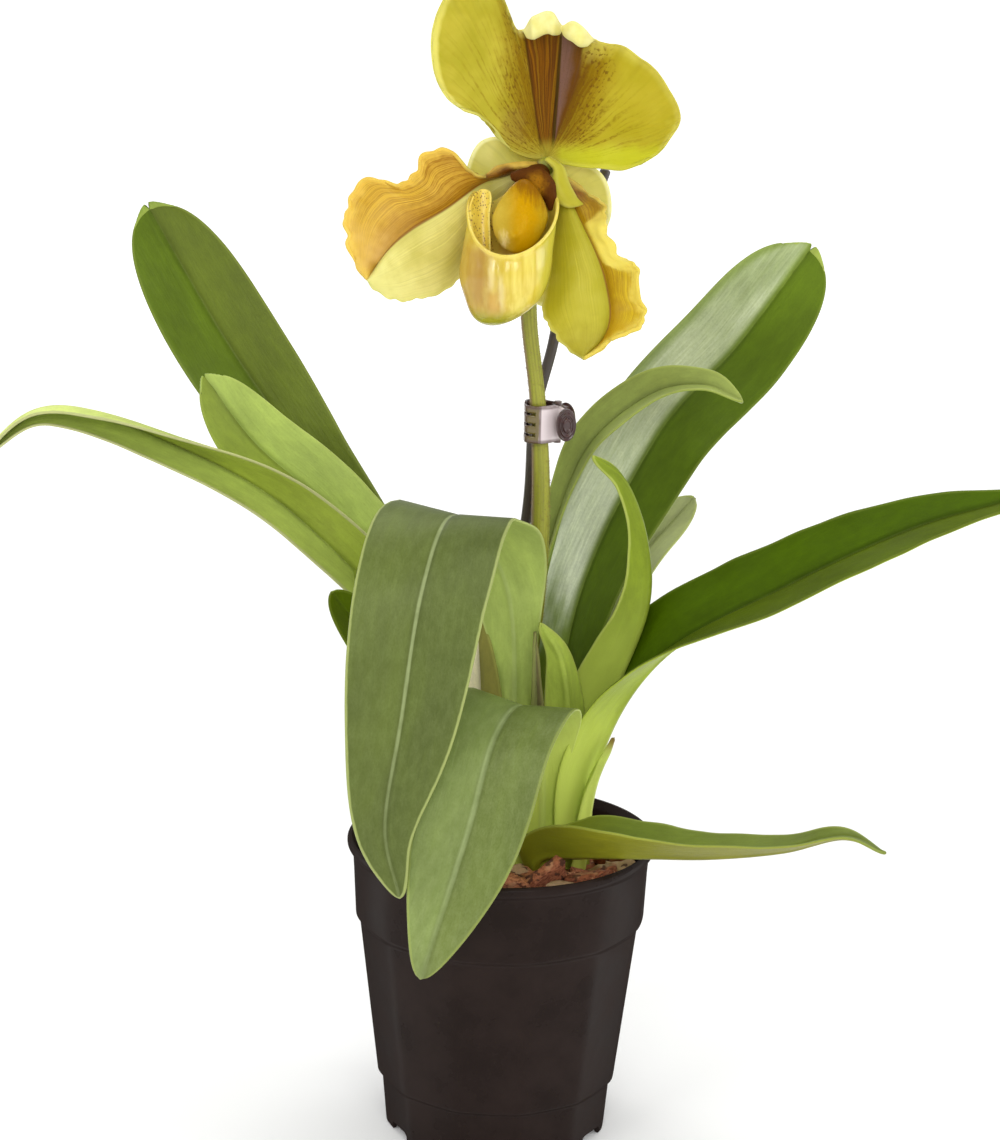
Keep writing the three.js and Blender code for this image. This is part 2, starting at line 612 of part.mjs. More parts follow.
// A strip of even width along a line in plan, as an outline
function strip(line, width) {
  const path = new THREE.SplineCurve(line.map(([x, y]) => new THREE.Vector2(x, y)));
  const steps = 14;
  const near = [];
  const far = [];
  for (let i = 0; i <= steps; i++) {
    const at = path.getPoint(i / steps);
    const way = path.getTangent(i / steps);
    const normal = new THREE.Vector2(-way.y, way.x).multiplyScalar(width / 2);
    near.push(at.clone().add(normal));
    far.unshift(at.clone().sub(normal));
  }
  return new THREE.Shape([...near, ...far]);
}

function upright(shape, height, foot) {
  const geometry = new THREE.ExtrudeGeometry(shape, { depth: height, bevelEnabled: false, curveSegments: 4 });
  geometry.translate(0, 0, foot);
  return solid(geometry);
}

// The gripping end is slotted into teeth, knuckles hold the pin, and the thumb presses an oval pad with two rings.
function jaw(line, knuckles) {
  const [pinX, pinY] = CLIP_PIN_AT;
  const middle = CLIP_FOOT + CLIP_HEIGHT / 2;
  let body = upright(strip(line, CLIP_WALL), CLIP_HEIGHT, CLIP_FOOT);
  const outward = Math.sign(line[0][1] - pinY);
  for (const [share, rise] of [[1, 0.4], [0.78, 1], [0.42, 1.6]]) {
    body = body.add(pad(share, rise, [line[0][0] - 1.9, line[0][1] - outward * 1.3, middle], outward));
  }
  for (const [from, height] of knuckles) {
    const at = [pinX, pinY, CLIP_FOOT + from + height / 2];
    body = body.add(cylinder(KNUCKLE_RADIUS, height, 14, at));
    const reach = line[2][1] - pinY;
    body = body.add(box([KNUCKLE_RADIUS, Math.abs(reach), height], [pinX, pinY + reach / 2, at[2]]));
  }
  for (const share of [0.2, 0.5, 0.8]) {
    const at = [4.6, pinY, CLIP_FOOT + CLIP_HEIGHT * share];
    body = body.subtract(box([JAW_SLOT[0], 40, JAW_SLOT[1]], at));
  }
  return body.subtract(cylinder(CLIP_PIN_RADIUS + CLEAR, 2 * CLIP_HEIGHT, 14, [pinX, pinY, middle]));
}

// Oval disc that stands out from the end of a handle
function pad(share, rise, at, outward) {
  const geometry = new THREE.CylinderGeometry(1, 1, rise + 0.8, 12);
  geometry.scale(3.4 * share, 1, (CLIP_HEIGHT / 2 - 0.4) * share);
  geometry.translate(0, (outward * (rise + 0.8)) / 2, 0);
  geometry.rotateZ(outward * radians(-32));
  geometry.translate(...at);
  return solid(geometry);
}

// Torsion spring: a coil of wire between the jaws, round the pin
function spring() {
  const turns = 3;
  const coil = [];
  for (let i = 0; i <= turns * 8; i++) {
    const angle = (i / 8) * 2 * Math.PI;
    coil.push([
      CLIP_PIN_AT[0] + SPRING_RADIUS * Math.cos(angle),
      CLIP_PIN_AT[1] + SPRING_RADIUS * Math.sin(angle),
      CLIP_FOOT + CLIP_HEIGHT / 2 + COIL_HEIGHT * (i / (turns * 8) - 0.5),
    ]);
  }
  return rod(coil, [SPRING_WIRE / 2], 5, turns * 9);
}

function pin() {
  const [x, y] = CLIP_PIN_AT;
  const height = CLIP_HEIGHT + 2 * CLEAR;
  const middle = CLIP_FOOT + CLIP_HEIGHT / 2;
  const shaft = cylinder(CLIP_PIN_RADIUS, height + 2, 14, [x, y, middle]);
  const top = cylinder(CLIP_PIN_RADIUS + 0.6, 1, 14, [x, y, middle + height / 2 + 0.5]);
  const bottom = cylinder(CLIP_PIN_RADIUS + 0.6, 1, 14, [x, y, middle - height / 2 - 0.5]);
  return shaft.add(top).add(bottom);
}

// Each piece gives way to those before it in this list, by the gap that CLEAR names.
const grown = [
  ["flower_stem", (extra) => rod(STEM_PATH, STEM_RADII, 8, 24, extra)],
  ["stake", (extra) => rod(STAKE_PATH, [STAKE_RADIUS], 8, 12, extra)],
  ["column", (extra) => placed(column(extra))],
  ["pouch", (extra) => placed(pouch(extra))],
  ["left_petal", (extra) => placed(petal(LEFT_PETAL, extra))],
  ["right_petal", (extra) => placed(petal(RIGHT_PETAL, extra))],
  ["dorsal_sepal", (extra) => placed(dorsalSepal(extra))],
  ["synsepal", (extra) => placed(synsepal(extra))],
  ...Object.entries(LEAVES).map(([name, leaf]) => [name, (extra) => blade(leaf, extra)]),
];

const belowCrown = box([90, 60, 30], [CROWN_AT[0], CROWN_AT[1], CROWN_FOOT - 15]);
const bodies = new Map();
const swollen = [];
for (const [name, make] of grown) {
  let body = make(0);
  if (name !== "stake") body = body.subtract(belowCrown);
  for (const other of swollen) body = body.subtract(other);
  bodies.set(name, largest(body));
  swollen.push(make(CLEAR));
}

const pocket = new THREE.CylinderGeometry(1, 1, 40, 28).rotateX(Math.PI / 2);
pocket.scale(CROWN_POCKET[0], CROWN_POCKET[1], 1);
pocket.translate(CROWN_AT[0], CROWN_AT[1], CROWN_FOOT - CLEAR + 20);
const stakeHole = swollen[1];
bodies.set("potting_bark", largest(bark().subtract(solid(pocket)).subtract(stakeHole)));
bodies.set("pot", pot());
bodies.set("clip_front_jaw", jaw(FRONT_JAW, FRONT_KNUCKLES));
bodies.set("clip_back_jaw", jaw(BACK_JAW, BACK_KNUCKLES));
bodies.set("clip_pin", pin());
bodies.set("clip_spring", spring());

// Colours and finishes
const LOOKS = {
  pot: [0x2e2628, 0.35],
  potting_bark: [0x7a4a36, 0.95],
  flower_stem: [0x8f9440, 0.6],
  stake: [0x2b2522, 0.4],
  column: [0xd9a52a, 0.25],
  pouch: [0xd9c860, 0.3],
  left_petal: [0xcfa640, 0.45],
  right_petal: [0xc9b040, 0.45],
  dorsal_sepal: [0xb5b32e, 0.45],
  synsepal: [0xc0c86a, 0.45],
  clip_front_jaw: [0x9a7b78, 0.25],
  clip_back_jaw: [0x6b4a48, 0.25],
  clip_pin: [0x8a7370, 0.3],
  clip_spring: [0xb0b0b0, 0.3, 1],
};
const LEAF_LOOK = [0x6f8a3a, 0.45];

const orchid = new THREE.Group();
const holder = new THREE.Group();
const bloom = new THREE.Group();
const leaves = new THREE.Group();
const support = new THREE.Group();
orchid.add(holder, bloom, leaves, support);
const GROUPS = {
  pot: holder,
  potting_bark: holder,
  column: bloom,
  pouch: bloom,
  left_petal: bloom,
  right_petal: bloom,
  dorsal_sepal: bloom,
  synsepal: bloom,
  flower_stem: bloom,
  stake: support,
  clip_front_jaw: support,
  clip_back_jaw: support,
  clip_pin: support,
  clip_spring: support,
};
for (const [name, body] of bodies) {
  const [color, roughness, metalness = 0] = LOOKS[name] ?? LEAF_LOOK;
  const material = new THREE.MeshStandardMaterial({ color, roughness, metalness });
  const mesh = new THREE.Mesh(geometryOf(body), material);
  mesh.name = name;
  (GROUPS[name] ?? leaves).add(mesh);
}

export default orchid;
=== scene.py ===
"""Looks of the potted slipper orchid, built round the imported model.

Lengths are millimetres until a mesh is made, and metres after that."""
import math
import random

import bmesh
import bpy
import numpy as np
from mathutils import Matrix, Vector, noise


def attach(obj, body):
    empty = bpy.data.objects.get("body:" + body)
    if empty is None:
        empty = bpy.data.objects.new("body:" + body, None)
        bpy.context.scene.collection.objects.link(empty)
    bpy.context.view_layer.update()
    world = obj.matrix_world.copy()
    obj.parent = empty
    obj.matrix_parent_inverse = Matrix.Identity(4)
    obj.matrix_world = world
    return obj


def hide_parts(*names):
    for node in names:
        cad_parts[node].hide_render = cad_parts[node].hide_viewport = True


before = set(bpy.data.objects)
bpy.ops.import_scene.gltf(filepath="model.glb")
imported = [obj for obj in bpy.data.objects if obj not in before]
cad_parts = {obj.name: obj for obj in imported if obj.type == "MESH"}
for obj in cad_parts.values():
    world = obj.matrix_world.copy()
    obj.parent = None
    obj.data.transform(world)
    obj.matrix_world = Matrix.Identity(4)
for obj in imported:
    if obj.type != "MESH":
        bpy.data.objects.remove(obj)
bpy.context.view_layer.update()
MM = 0.001


# Curves and sheets
def unit(v):
    return v / np.maximum(np.linalg.norm(v, axis=-1, keepdims=True), 1e-12)


def along(values, t):
    """Smooth curve through equally spaced values, t from 0 to 1."""
    v = np.asarray(values, float)
    flat = v.ndim == 1
    if flat:
        v = v[:, None]
    t = np.atleast_1d(np.asarray(t, float))
    last = len(v) - 1
    if last == 0:
        out = np.repeat(v, len(t), 0)
    else:
        wide = np.vstack([2 * v[0] - v[1], v, 2 * v[-1] - v[-2]])
        x = np.clip(t, 0, 1) * last
        i = np.minimum(x.astype(int), last - 1)
        u = (x - i)[:, None]
        a, b, c, d = wide[i], wide[i + 1], wide[i + 2], wide[i + 3]
        out = 0.5 * (2 * b + (c - a) * u + (2 * a - 5 * b + 4 * c - d) * u * u + (3 * b - a - 3 * c + d)
                     * u**3)
    return out[:, 0] if flat else out


def even(points, t, closed=False):
    """Points at even steps of length along the smooth curve, with its length."""
    p = np.asarray(points, float)
    if closed:
        n = len(p)
        p = np.vstack([p[-2:], p, p[:3]])
        low, high = 2 / (n + 4), (n + 2) / (n + 4)
        fine = np.linspace(low, high, 600)
    else:
        fine = np.linspace(0, 1, 400)
    line = along(p, fine)
    run = np.concatenate([[0], np.cumsum(np.linalg.norm(np.diff(line, axis=0), axis=1))])
    return along(p, np.interp(np.asarray(t, float) * run[-1], run, fine)), run[-1]


def grid_faces(rows, columns, closed=False):
    i = np.arange(rows - 1)[:, None]
    j = np.arange(columns if closed else columns - 1)[None, :]
    a = i * columns + j
    b = i * columns + (j + 1) % columns
    return np.stack([a, b, b + columns, a + columns], -1).reshape(-1, 4).tolist()


def point_normals(points, faces):
    normals = np.zeros_like(points)
    for size in (3, 4):
        f = np.array([f for f in faces if len(f) == size], int)
        if len(f):
            d = np.cross(points[f[:, 2]] - points[f[:, 0]], points[f[:, -1]] - points[f[:, 1]])
            if size == 3:
                d = np.cross(points[f[:, 1]] - points[f[:, 0]], points[f[:, 2]] - points[f[:, 0]])
            for k in range(size):
                np.add.at(normals, f[:, k], d)
    return unit(normals)


def smooth(x, low, high):
    k = np.clip((np.asarray(x, float) - low) / (high - low), 0, 1)
    return k * k * (3 - 2 * k)


def wobble(points, scale, seed=0.0):
    """Smooth noise of about -1 to 1 at each point, one lump per scale."""
    return np.array([noise.noise(Vector((p[0] / scale + seed, p[1] / scale - seed, p[2] / scale + 2 * seed)))
                     for p in points]) * 1.6


def body_of_sheet(points, faces, up, down, marks, flip=False, rings=3):
    """A closed body round a sheet, with a rounded edge. up and down are its thickness on each side of it.
    marks is one array of vectors per name. Every point also gets "side": 1 on the upper face, -1 below."""
    points = np.asarray(points, float)
    if flip:
        faces = [f[::-1] for f in faces]
    n = point_normals(points, faces)
    count = len(points)
    up = np.broadcast_to(np.asarray(up, float), count)
    down = np.broadcast_to(np.asarray(down, float), count)
    loose = {}
    for f in faces:
        for a, b in zip(f, f[1:] + f[:1]):
            if loose.pop((b, a), None) is None:
                loose[(a, b)] = True
    outward = np.zeros_like(points)
    border = sorted({v for e in loose for v in e})
    for a, b in loose:
        step = unit(points[b] - points[a])
        outward[a] += np.cross(step, n[a])
        outward[b] += np.cross(step, n[b])
    outward = unit(outward)
    place = np.array(border, int)
    middle = points + n * ((up - down) / 2)[:, None]
    half = (up + down) / 2
    verts = [points + n * up[:, None], points - n * down[:, None]]
    side = [np.ones(count), -np.ones(count)]
    ring_of = [{v: v for v in border}]
    start = 2 * count
    for k in range(1, rings + 1):
        turn = math.pi / 2 - math.pi * k / (rings + 1)
        verts.append(middle[place] + n[place] * (half[place] * math.sin(turn))[:, None]
                     + outward[place] * (half[place] * math.cos(turn))[:, None])
        side.append(np.full(len(place), math.sin(turn)))
        ring_of.append({v: start + i for i, v in enumerate(border)})
        start += len(border)
    ring_of.append({v: v + count for v in border})
    all_faces = list(faces) + [[v + count for v in f[::-1]] for f in faces]
    for a, b in loose:
        for upper, lower in zip(ring_of, ring_of[1:]):
            all_faces.append([upper[b], upper[a], lower[a], lower[b]])
    source = np.concatenate([np.arange(count)] * 2 + [place] * rings)
    side = np.concatenate(side)
    out = {name: np.asarray(m, float)[source] for name, m in marks.items()}
    out["side"] = in_x(side)
    return np.concatenate(verts), all_faces, out


def make(name, verts, faces, marks, material, body="plant", replaces=(), sharp=None):
    mesh = bpy.data.meshes.new(name)
    mesh.from_pydata((np.asarray(verts) * MM).tolist(), [], faces)
    for mark, values in marks.items():
        layer = mesh.attributes.new(mark, "FLOAT_VECTOR", "POINT")
        layer.data.foreach_set("vector", np.asarray(values, np.float32).ravel())
    mesh.validate()
    mesh.polygons.foreach_set("use_smooth", [True] * len(mesh.polygons))
    if sharp is not None:
        mesh.set_sharp_from_angle(angle=math.radians(sharp))
    piece = bpy.data.objects.new(name, mesh)
    bpy.context.scene.collection.objects.link(piece)
    mesh.materials.append(material)
    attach(piece, body)
    if replaces:
        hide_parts(*replaces)
    return piece


def join(parts):
    """One set of verts, faces and marks from several."""
    verts, faces, marks, start = [], [], {}, 0
    for v, f, m in parts:
        verts.append(v)
        faces += [[i + start for i in face] for face in f]
        for name, values in m.items():
            marks.setdefault(name, []).append(values)
        start += len(v)
    return np.concatenate(verts), faces, {k: np.concatenate(v) for k, v in marks.items()}


def in_x(values):
    """A mark with its values in x."""
    return np.stack([values, values * 0, values * 0], -1)


# Materials
def linear(red, green, blue):
    """A colour as seen, 0 to 255, in the values that shaders take."""
    return tuple(c / 255 / 12.92 if c <= 10.3 else ((c / 255 + 0.055) / 1.055) ** 2.4
                 for c in (red, green, blue)) + (1.0,)


class Value:
    """An output of a node, so that sums can be written out as usual."""

    def __init__(self, look, socket):
        self.look, self.socket = look, socket

    def __add__(self, other):
        return self.look.math("ADD", self, other)

    def __radd__(self, other):
        return self.look.math("ADD", other, self)

    def __sub__(self, other):
        return self.look.math("SUBTRACT", self, other)

    def __mul__(self, other):
        return self.look.math("MULTIPLY", self, other)

    def __rmul__(self, other):
        return self.look.math("MULTIPLY", other, self)

    def __truediv__(self, other):
        return self.look.math("DIVIDE", self, other)

    def __abs__(self):
        return self.look.math("ABSOLUTE", self)


class Look:
    """A material's nodes. Inputs are numbers, values of other nodes, or colours as seen, from 0 to 255."""

    def __init__(self, name):
        self.material = bpy.data.materials.new(name)
        self.material.use_nodes = True
        self.tree = self.material.node_tree
        self.tree.nodes.clear()
        self.out = self.tree.nodes.new("ShaderNodeOutputMaterial")

    def set(self, socket, value):
        if isinstance(value, Value):
            self.tree.links.new(value.socket, socket)
        elif isinstance(value, (tuple, list)) and len(value) == 3:
            socket.default_value = linear(*value)
        else:
            socket.default_value = value

    def node(self, kind, inputs, **settings):
        node = self.tree.nodes.new("ShaderNode" + kind)
        for k, v in settings.items():
            setattr(node, k, v)
        for k, v in inputs.items():
            self.set(node.inputs[k], v)
        return node

    def value(self, kind, inputs, output=0, **settings):
        return Value(self, self.node(kind, inputs, **settings).outputs[output])

    def math(self, operation, a, b=0.0):
        return self.value("Math", {0: a, 1: b}, operation=operation)

    def larger(self, a, b):
        return self.math("MAXIMUM", a, b)

    def smaller(self, a, b):
        return self.math("MINIMUM", a, b)

    def mix(self, share, a, b, blend="MIX"):
        return self.value("Mix", {0: share, 6: a, 7: b}, 2, data_type="RGBA", blend_type=blend)

    def step(self, value, low, high, to_low=0.0, to_high=1.0):
        inputs = {0: value, 1: low, 2: high, 3: to_low, 4: to_high}
        return self.value("MapRange", inputs, interpolation_type="SMOOTHSTEP")

    def mark(self, name):
        own = self.value("Attribute", {}, "Vector", attribute_name=name)
        split = self.node("SeparateXYZ", {0: own})
        return [Value(self, split.outputs[k]) for k in range(3)]

    def at(self, x, y=0.0, z=0.0):
        return self.value("CombineXYZ", {0: x, 1: y, 2: z})

    def noise(self, place, scale=1.0, detail=2.0, rough=0.5):
        return self.value("TexNoise", {"Vector": place, "Scale": scale, "Detail": detail, "Roughness": rough})

    def place(self):
        """Place in the row frame, in millimetres."""
        return self.value("VectorMath", {0: self.value("TexCoord", {}, "Object"), 3: 1000.0},
                          operation="SCALE")

    def bump(self, height, strength, distance, normal=None):
        inputs = {"Strength": strength, "Distance": distance * MM, "Height": height}
        if normal is not None:
            inputs["Normal"] = normal
        return self.value("Bump", inputs)

    def finish(self, color, roughness, normal=None, **constants):
        inputs = {"Base Color": color, "Roughness": roughness}
        if normal is not None:
            inputs["Normal"] = normal
        shader = self.node("BsdfPrincipled", inputs)
        for k, v in constants.items():
            shader.inputs[k.replace("_", " ")].default_value = v
        self.set(self.out.inputs[0], Value(self, shader.outputs[0]))
        return self.material


def shade(tone, factor, more=0):
    return tuple(min(255, c * factor + more) for c in tone)


# How light spreads inside petals
GLOW = dict(Subsurface_Radius=(0.004, 0.003, 0.001), Subsurface_Scale=1.0)


# Camera, lights and floor
PHOTO_HEIGHT, FOCAL_PIXELS = 1140, 2500
CAMERA_AT, CAMERA_PITCH, CAMERA_YAW, CAMERA_ROLL = (0, -0.923, 0.449), 13.7, -0.17, 1.2


def look_along(location, forward, roll=0.0):
    forward = Vector(forward).normalized()
    right = Vector((forward.y, -forward.x, 0)).normalized()
    up = right.cross(forward)
    turned_right = right * math.cos(roll) + up * math.sin(roll)
    turned_up = up * math.cos(roll) - right * math.sin(roll)
    turn = Matrix((turned_right, turned_up, -forward)).transposed()
    return Matrix.Translation(Vector(location)) @ turn.to_4x4()


def camera():
    data = bpy.data.cameras.new("camera")
    data.sensor_width = 36
    data.lens = FOCAL_PIXELS / PHOTO_HEIGHT * data.sensor_width
    data.clip_end = 300
    seen = bpy.data.objects.new("camera", data)
    bpy.context.scene.collection.objects.link(seen)
    pitch, yaw = math.radians(CAMERA_PITCH), math.radians(CAMERA_YAW)
    way = (math.sin(yaw) * math.cos(pitch), math.cos(yaw) * math.cos(pitch), -math.sin(pitch))
    seen.matrix_world = look_along(CAMERA_AT, way, math.radians(CAMERA_ROLL))
    bpy.context.scene.camera = seen


def lamp(name, place, aim, size, power, tall=None):
    data = bpy.data.lights.new(name, "AREA")
    data.shape = "RECTANGLE"
    data.size, data.size_y = size, tall or size
    data.energy = power
    light = bpy.data.objects.new(name, data)
    bpy.context.scene.collection.objects.link(light)
    light.matrix_world = look_along(place, Vector(aim) - Vector(place))


def studio():
    world = bpy.data.worlds.new("studio")
    world.use_nodes = True
    world.node_tree.nodes["Background"].inputs[0].default_value = (1, 1, 1, 1)
    world.node_tree.nodes["Background"].inputs[1].default_value = 0.56
    bpy.context.scene.world = world
    bpy.context.scene.view_settings.view_transform = "Standard"
    middle = (0, 0, 0.22)
    lamp("key", (-1.15, -1.25, 1.65), middle, 0.8, 9)
    lamp("front", (0.15, -1.45, 0.95), middle, 1.1, 9, tall=0.5)
    lamp("top", (0.1, 0.35, 1.9), middle, 1.0, 9)
    lamp("back_left", (-1.1, 1.3, 1.7), middle, 0.9, 6)
    lamp("right", (1.45, -0.15, 0.7), middle, 0.7, 5)
    lamp("back_right", (1.0, 1.3, 1.6), middle, 0.9, 3)
    floor = bpy.data.meshes.new("floor")
    floor.from_pydata([(x * 90, y * 90, -0.0004) for x, y in ((-1, -1), (1, -1), (1, 1), (-1, 1))], [],
                      [(0, 1, 2, 3)])
    look = Look("floor")
    place = look.place()
    grain = look.noise(place, 0.004, 3)
    away = look.value("VectorMath", {0: place}, "Value", operation="LENGTH")
    white = look.mix(grain, (243, 243, 242), (246, 246, 245))
    shader = look.node("BsdfPrincipled",
                       {"Base Color": white, "Roughness": 0.9, "Emission Color": (1, 1, 1, 1),
                                          "Emission Strength": look.step(away, 350, 2600, 0.08, 0.66)})
    look.set(look.out.inputs[0], Value(look, shader.outputs[0]))
    floor.materials.append(look.material)
    ground = bpy.data.objects.new("floor", floor)
    bpy.context.scene.collection.objects.link(ground)


camera()
studio()

# Leaves: midrib, way the upper side looks, width, fold and curl. They are those of the solids, moved a few
# millimetres at most towards the outline in the photograph.
BLADE_RIB, BLADE_EDGE = 1.5, 0.9
LIME = (204, 220, 100)
LEAVES = {
    "leaf_low_right": dict(
        points=[[13, -13, 95], [15, -18, 114], [30, -31, 121], [54, -39, 124.5], [78, -46, 127.5],
                [104, -50, 132],
                [126, -52, 138.5], [141, -53, 133]],
        face=[[0.1, 0.2, 0.9], [0, 0.2, 1], [0, 0.1, 1], [0, 0.1, 1], [0.1, 0, 1], [0.3, -0.3, 0.9]],
        width=[12, 22, 34, 31, 25, 21, 15, 8], fold=[60, 58, 46, 36, 28, 22, 20], tip=4,
        look=dict(upper=(104, 118, 44), lower=(126, 126, 30), lime=(136, 140, 30), reach=(20, 60),
                  margin_share=0.3)),
    "leaf_front_low": dict(
        points=[[15, -6, 95], [15, -14, 148], [8, -35, 180], [-3, -61, 177], [-13, -75, 142], [-28, -82, 92]],
        face=[[0.2, 1, 0.1], [0.1, 0.8, 0.5], [0, 0, 1], [-0.1, -0.8, 0.6], [-0.1, -1, 0.1],
              [-0.1, -1, -0.2]],
        width=[14, 15, 38, 44, 43, 28], fold=[25, 22, 5, 5, 8], tip=5,
        look=dict(upper=(109, 126, 58), left=(91, 106, 36), lower=(176, 194, 88), reach=(50, 90),
                  rib=(166, 180, 126), rib_share=0.5,
                  rib_wide=1.4, margin_share=0.3, dust=0.3, pale_tip=0.4)),
    "leaf_long_right": dict(
        points=[[33, 0, 95], [36.5, -4, 150], [58.5, -13, 194], [102, -26, 225.5], [148, -40, 253],
                [188, -50, 268]],
        face=[[-0.9, 0, 0.2], [-0.69, -0.17, 0.65], [-0.32, -0.56, 0.77], [-0.2, -0.7, 0.7]],
        width=[24, 36, 42, 39, 33, 20], fold=[60, 53, 28, 22, 19], tip=4,
        look=dict(upper=(74, 90, 4), left=(63, 86, 0), lower=(150, 168, 52), gloss=0.12, crease=0.45,
                  margin_share=0.12)),
    "leaf_small_centre": dict(
        points=[[21, -6, 95], [25, -9, 150], [21.8, -14, 190], [12.8, -18, 208]],
        face=[[-0.3, 0.9, 0.1], [-0.3, 0.9, 0.1]],
        width=[12, 19, 22, 13], fold=[30, 32, 32], tip=3,
        look=dict(upper=(138, 162, 50), lower=(170, 188, 80), reach=(50, 90), margin_share=0.7)),
    "leaf_curled_tip": dict(
        points=[[28, 0, 95], [31, -2, 140], [41, -6, 176], [52.5, -10, 212], [51.5, -11, 238], [43, -12, 261],
                [31, -12, 271]],
        face=[[-0.7, 0.6, 0.1], [-0.6, 0.7, 0.1], [-0.8, 0.4, 0.1]],
        width=[18, 28, 34, 31, 21, 13.5, 11], fold=[60, 60, 60, 50, 38, 15], tip=5,
        look=dict(upper=(104, 122, 26), lower=(120, 138, 28), reach=(60, 140), margin_share=0.7)),
    "leaf_front_arch": dict(
        points=[[2, -4, 95], [4, -9, 160], [0, -15, 222], [-19, -40, 253.5], [-29.5, -66, 234],
                [-36.8, -76, 184],
                [-41.6, -79, 148], [-36, -80, 122]],
        face=[[0.1, 1, 0.1], [0.1, 1, 0.2], [-0.14, 0.6, 0.8], [-0.22, -0.2, 1], [-0.05, -0.9, 0.4],
              [0, -1, 0],
              [0, -1, -0.2]],
        width=[12, 12, 20, 48, 50, 46, 26], fold=[20, 18, 8, 5, 5, 8, 12], tip=5,
        look=dict(upper=(79, 92, 28), left=(75, 88, 26), lower=(164, 182, 90), reach=(40, 90),
                  rib=(172, 184, 130), rib_share=0.6,
                  rib_wide=1.0, margin=(186, 196, 120), margin_share=0.55, dust=0.17)),
    "leaf_tall_right": dict(
        points=[[22, 5, 95], [25.5, 17, 196], [55.5, 38, 266], [89, 54, 304], [116.5, 66, 340]],
        face=[[-0.8, -0.3, 0.2], [-0.5, -0.7, 0.3], [-0.2, -0.9, 0.4], [-0.1, -0.9, 0.4]],
        width=[14, 32, 41, 46, 49.5], fold=[60, 25, 16, 14], tip=13, notch=3,
        look=dict(upper=(74, 95, 10), left=(98, 118, 34), lower=(130, 146, 60), painted_sheen=0.85, gloss=0.25,
                  margin_share=0.12, pale_tip=0.9)),
    "leaf_arching_right": dict(
        points=[[7, 7, 95], [11, 13, 190], [18, 15, 236], [30, 12, 270], [52.5, 8, 291], [72, 3, 296],
                [86, -2, 291]],
        face=[[-0.9, 0, 0.2], [-0.8, -0.3, 0.3], [-0.5, -0.6, 0.5], [-0.1, -0.5, 0.9]],
        width=[8, 6, 4.5, 7.5, 15, 23, 19], fold=[60, 40, 25], tip=6,
        look=dict(upper=(136, 149, 75), lower=(120, 140, 44), margin_share=0.3)),
    "leaf_far_left": dict(
        points=[[-12, 4, 95], [-30, 0, 183], [-77, -8, 243], [-124, -16, 273], [-167, -22, 286.5],
                [-194, -25, 269]],
        face=[[0.9, 0.1, 0.2], [0.4, -0.6, 0.6], [0.1, -0.85, 0.5], [-0.1, -0.85, 0], [-0.2, -0.75, -0.4]],
        width=[20, 27, 27, 29, 29, 25], fold=[60, 40, 30, 40, 50], curl=[0, 0, 20, 50, 60], tip=6,
        look=dict(upper=(142, 156, 58), left=(156, 172, 82), lower=(186, 200, 106), margin=(168, 166, 124),
                  margin_share=0.7, pale_tip=0.6)),
    "leaf_mid_left": dict(
        points=[[-9, 5, 95], [-33, 4, 196], [-66, 6, 242], [-96, 4, 270], [-114, 0, 295]],
        face=[[0.9, 0, 0.2], [0.5, -0.8, 0.4], [0.15, -0.9, 0.4]],
        width=[16, 29, 32, 34, 36], fold=[60, 30, 24, 18], tip=9, notch=2,
        look=dict(upper=(160, 178, 90), left=(126, 142, 52), lower=(150, 168, 80))),
    "leaf_tall_left": dict(
        points=[[-6, 7, 95], [-40, 16, 202], [-82, 28, 264], [-112, 40, 305], [-142, 54, 352]],
        face=[[0.9, 0, 0.2], [0.6, -0.7, 0.3], [0.15, -0.95, 0.3], [0.1, -0.95, 0.3]],
        width=[14, 24, 28, 41, 46], fold=[60, 30, 14, 12], tip=12, notch=3,
        look=dict(upper=(88, 101, 28), left=(80, 100, 14), lower=(130, 150, 60), gloss=0.28,
                  margin_share=0.15)),
    "leaf_short_left": dict(
        points=[[-15, 1, 95], [-28, -8, 154], [-48, -20, 195], [-64.5, -29, 221]],
        face=[[0.9, 0.1, 0.2], [0.3, -0.8, 0.5]],
        width=[18, 26, 34, 36], fold=[50, 24, 8], tip=2.6,
        look=dict(upper=(74, 92, 0), left=(70, 86, 0), crease=0.1, lower=(126, 146, 50), gloss=0.08,
                  margin_share=0.1)),
    "leaf_back_right": dict(
        points=[[27, 10, 95], [31, 17, 168], [48.5, 35, 214.5], [73.5, 55, 241.5]],
        face=[[-0.8, -0.3, 0.2], [-0.4, -0.8, 0.3]],
        width=[14, 25, 29, 26], fold=[60, 30, 20], tip=6, notch=1,
        look=dict(upper=(156, 163, 108), left=(164, 170, 122), lower=(156, 166, 106), reach=(20, 50),
                  margin_share=0.3)),
    "sheath_dry_tip": dict(
        points=[[31, -5, 95], [34.5, -8, 138], [42, -10, 161]],
        face=[[-0.9, 0, 0.2], [-0.9, 0, 0.2]],
        width=[14, 9, 3], fold=[50], tip=2,
        look=dict(upper=(176, 194, 74), lower=(196, 212, 100), reach=(30, 60), brown=3)),
}
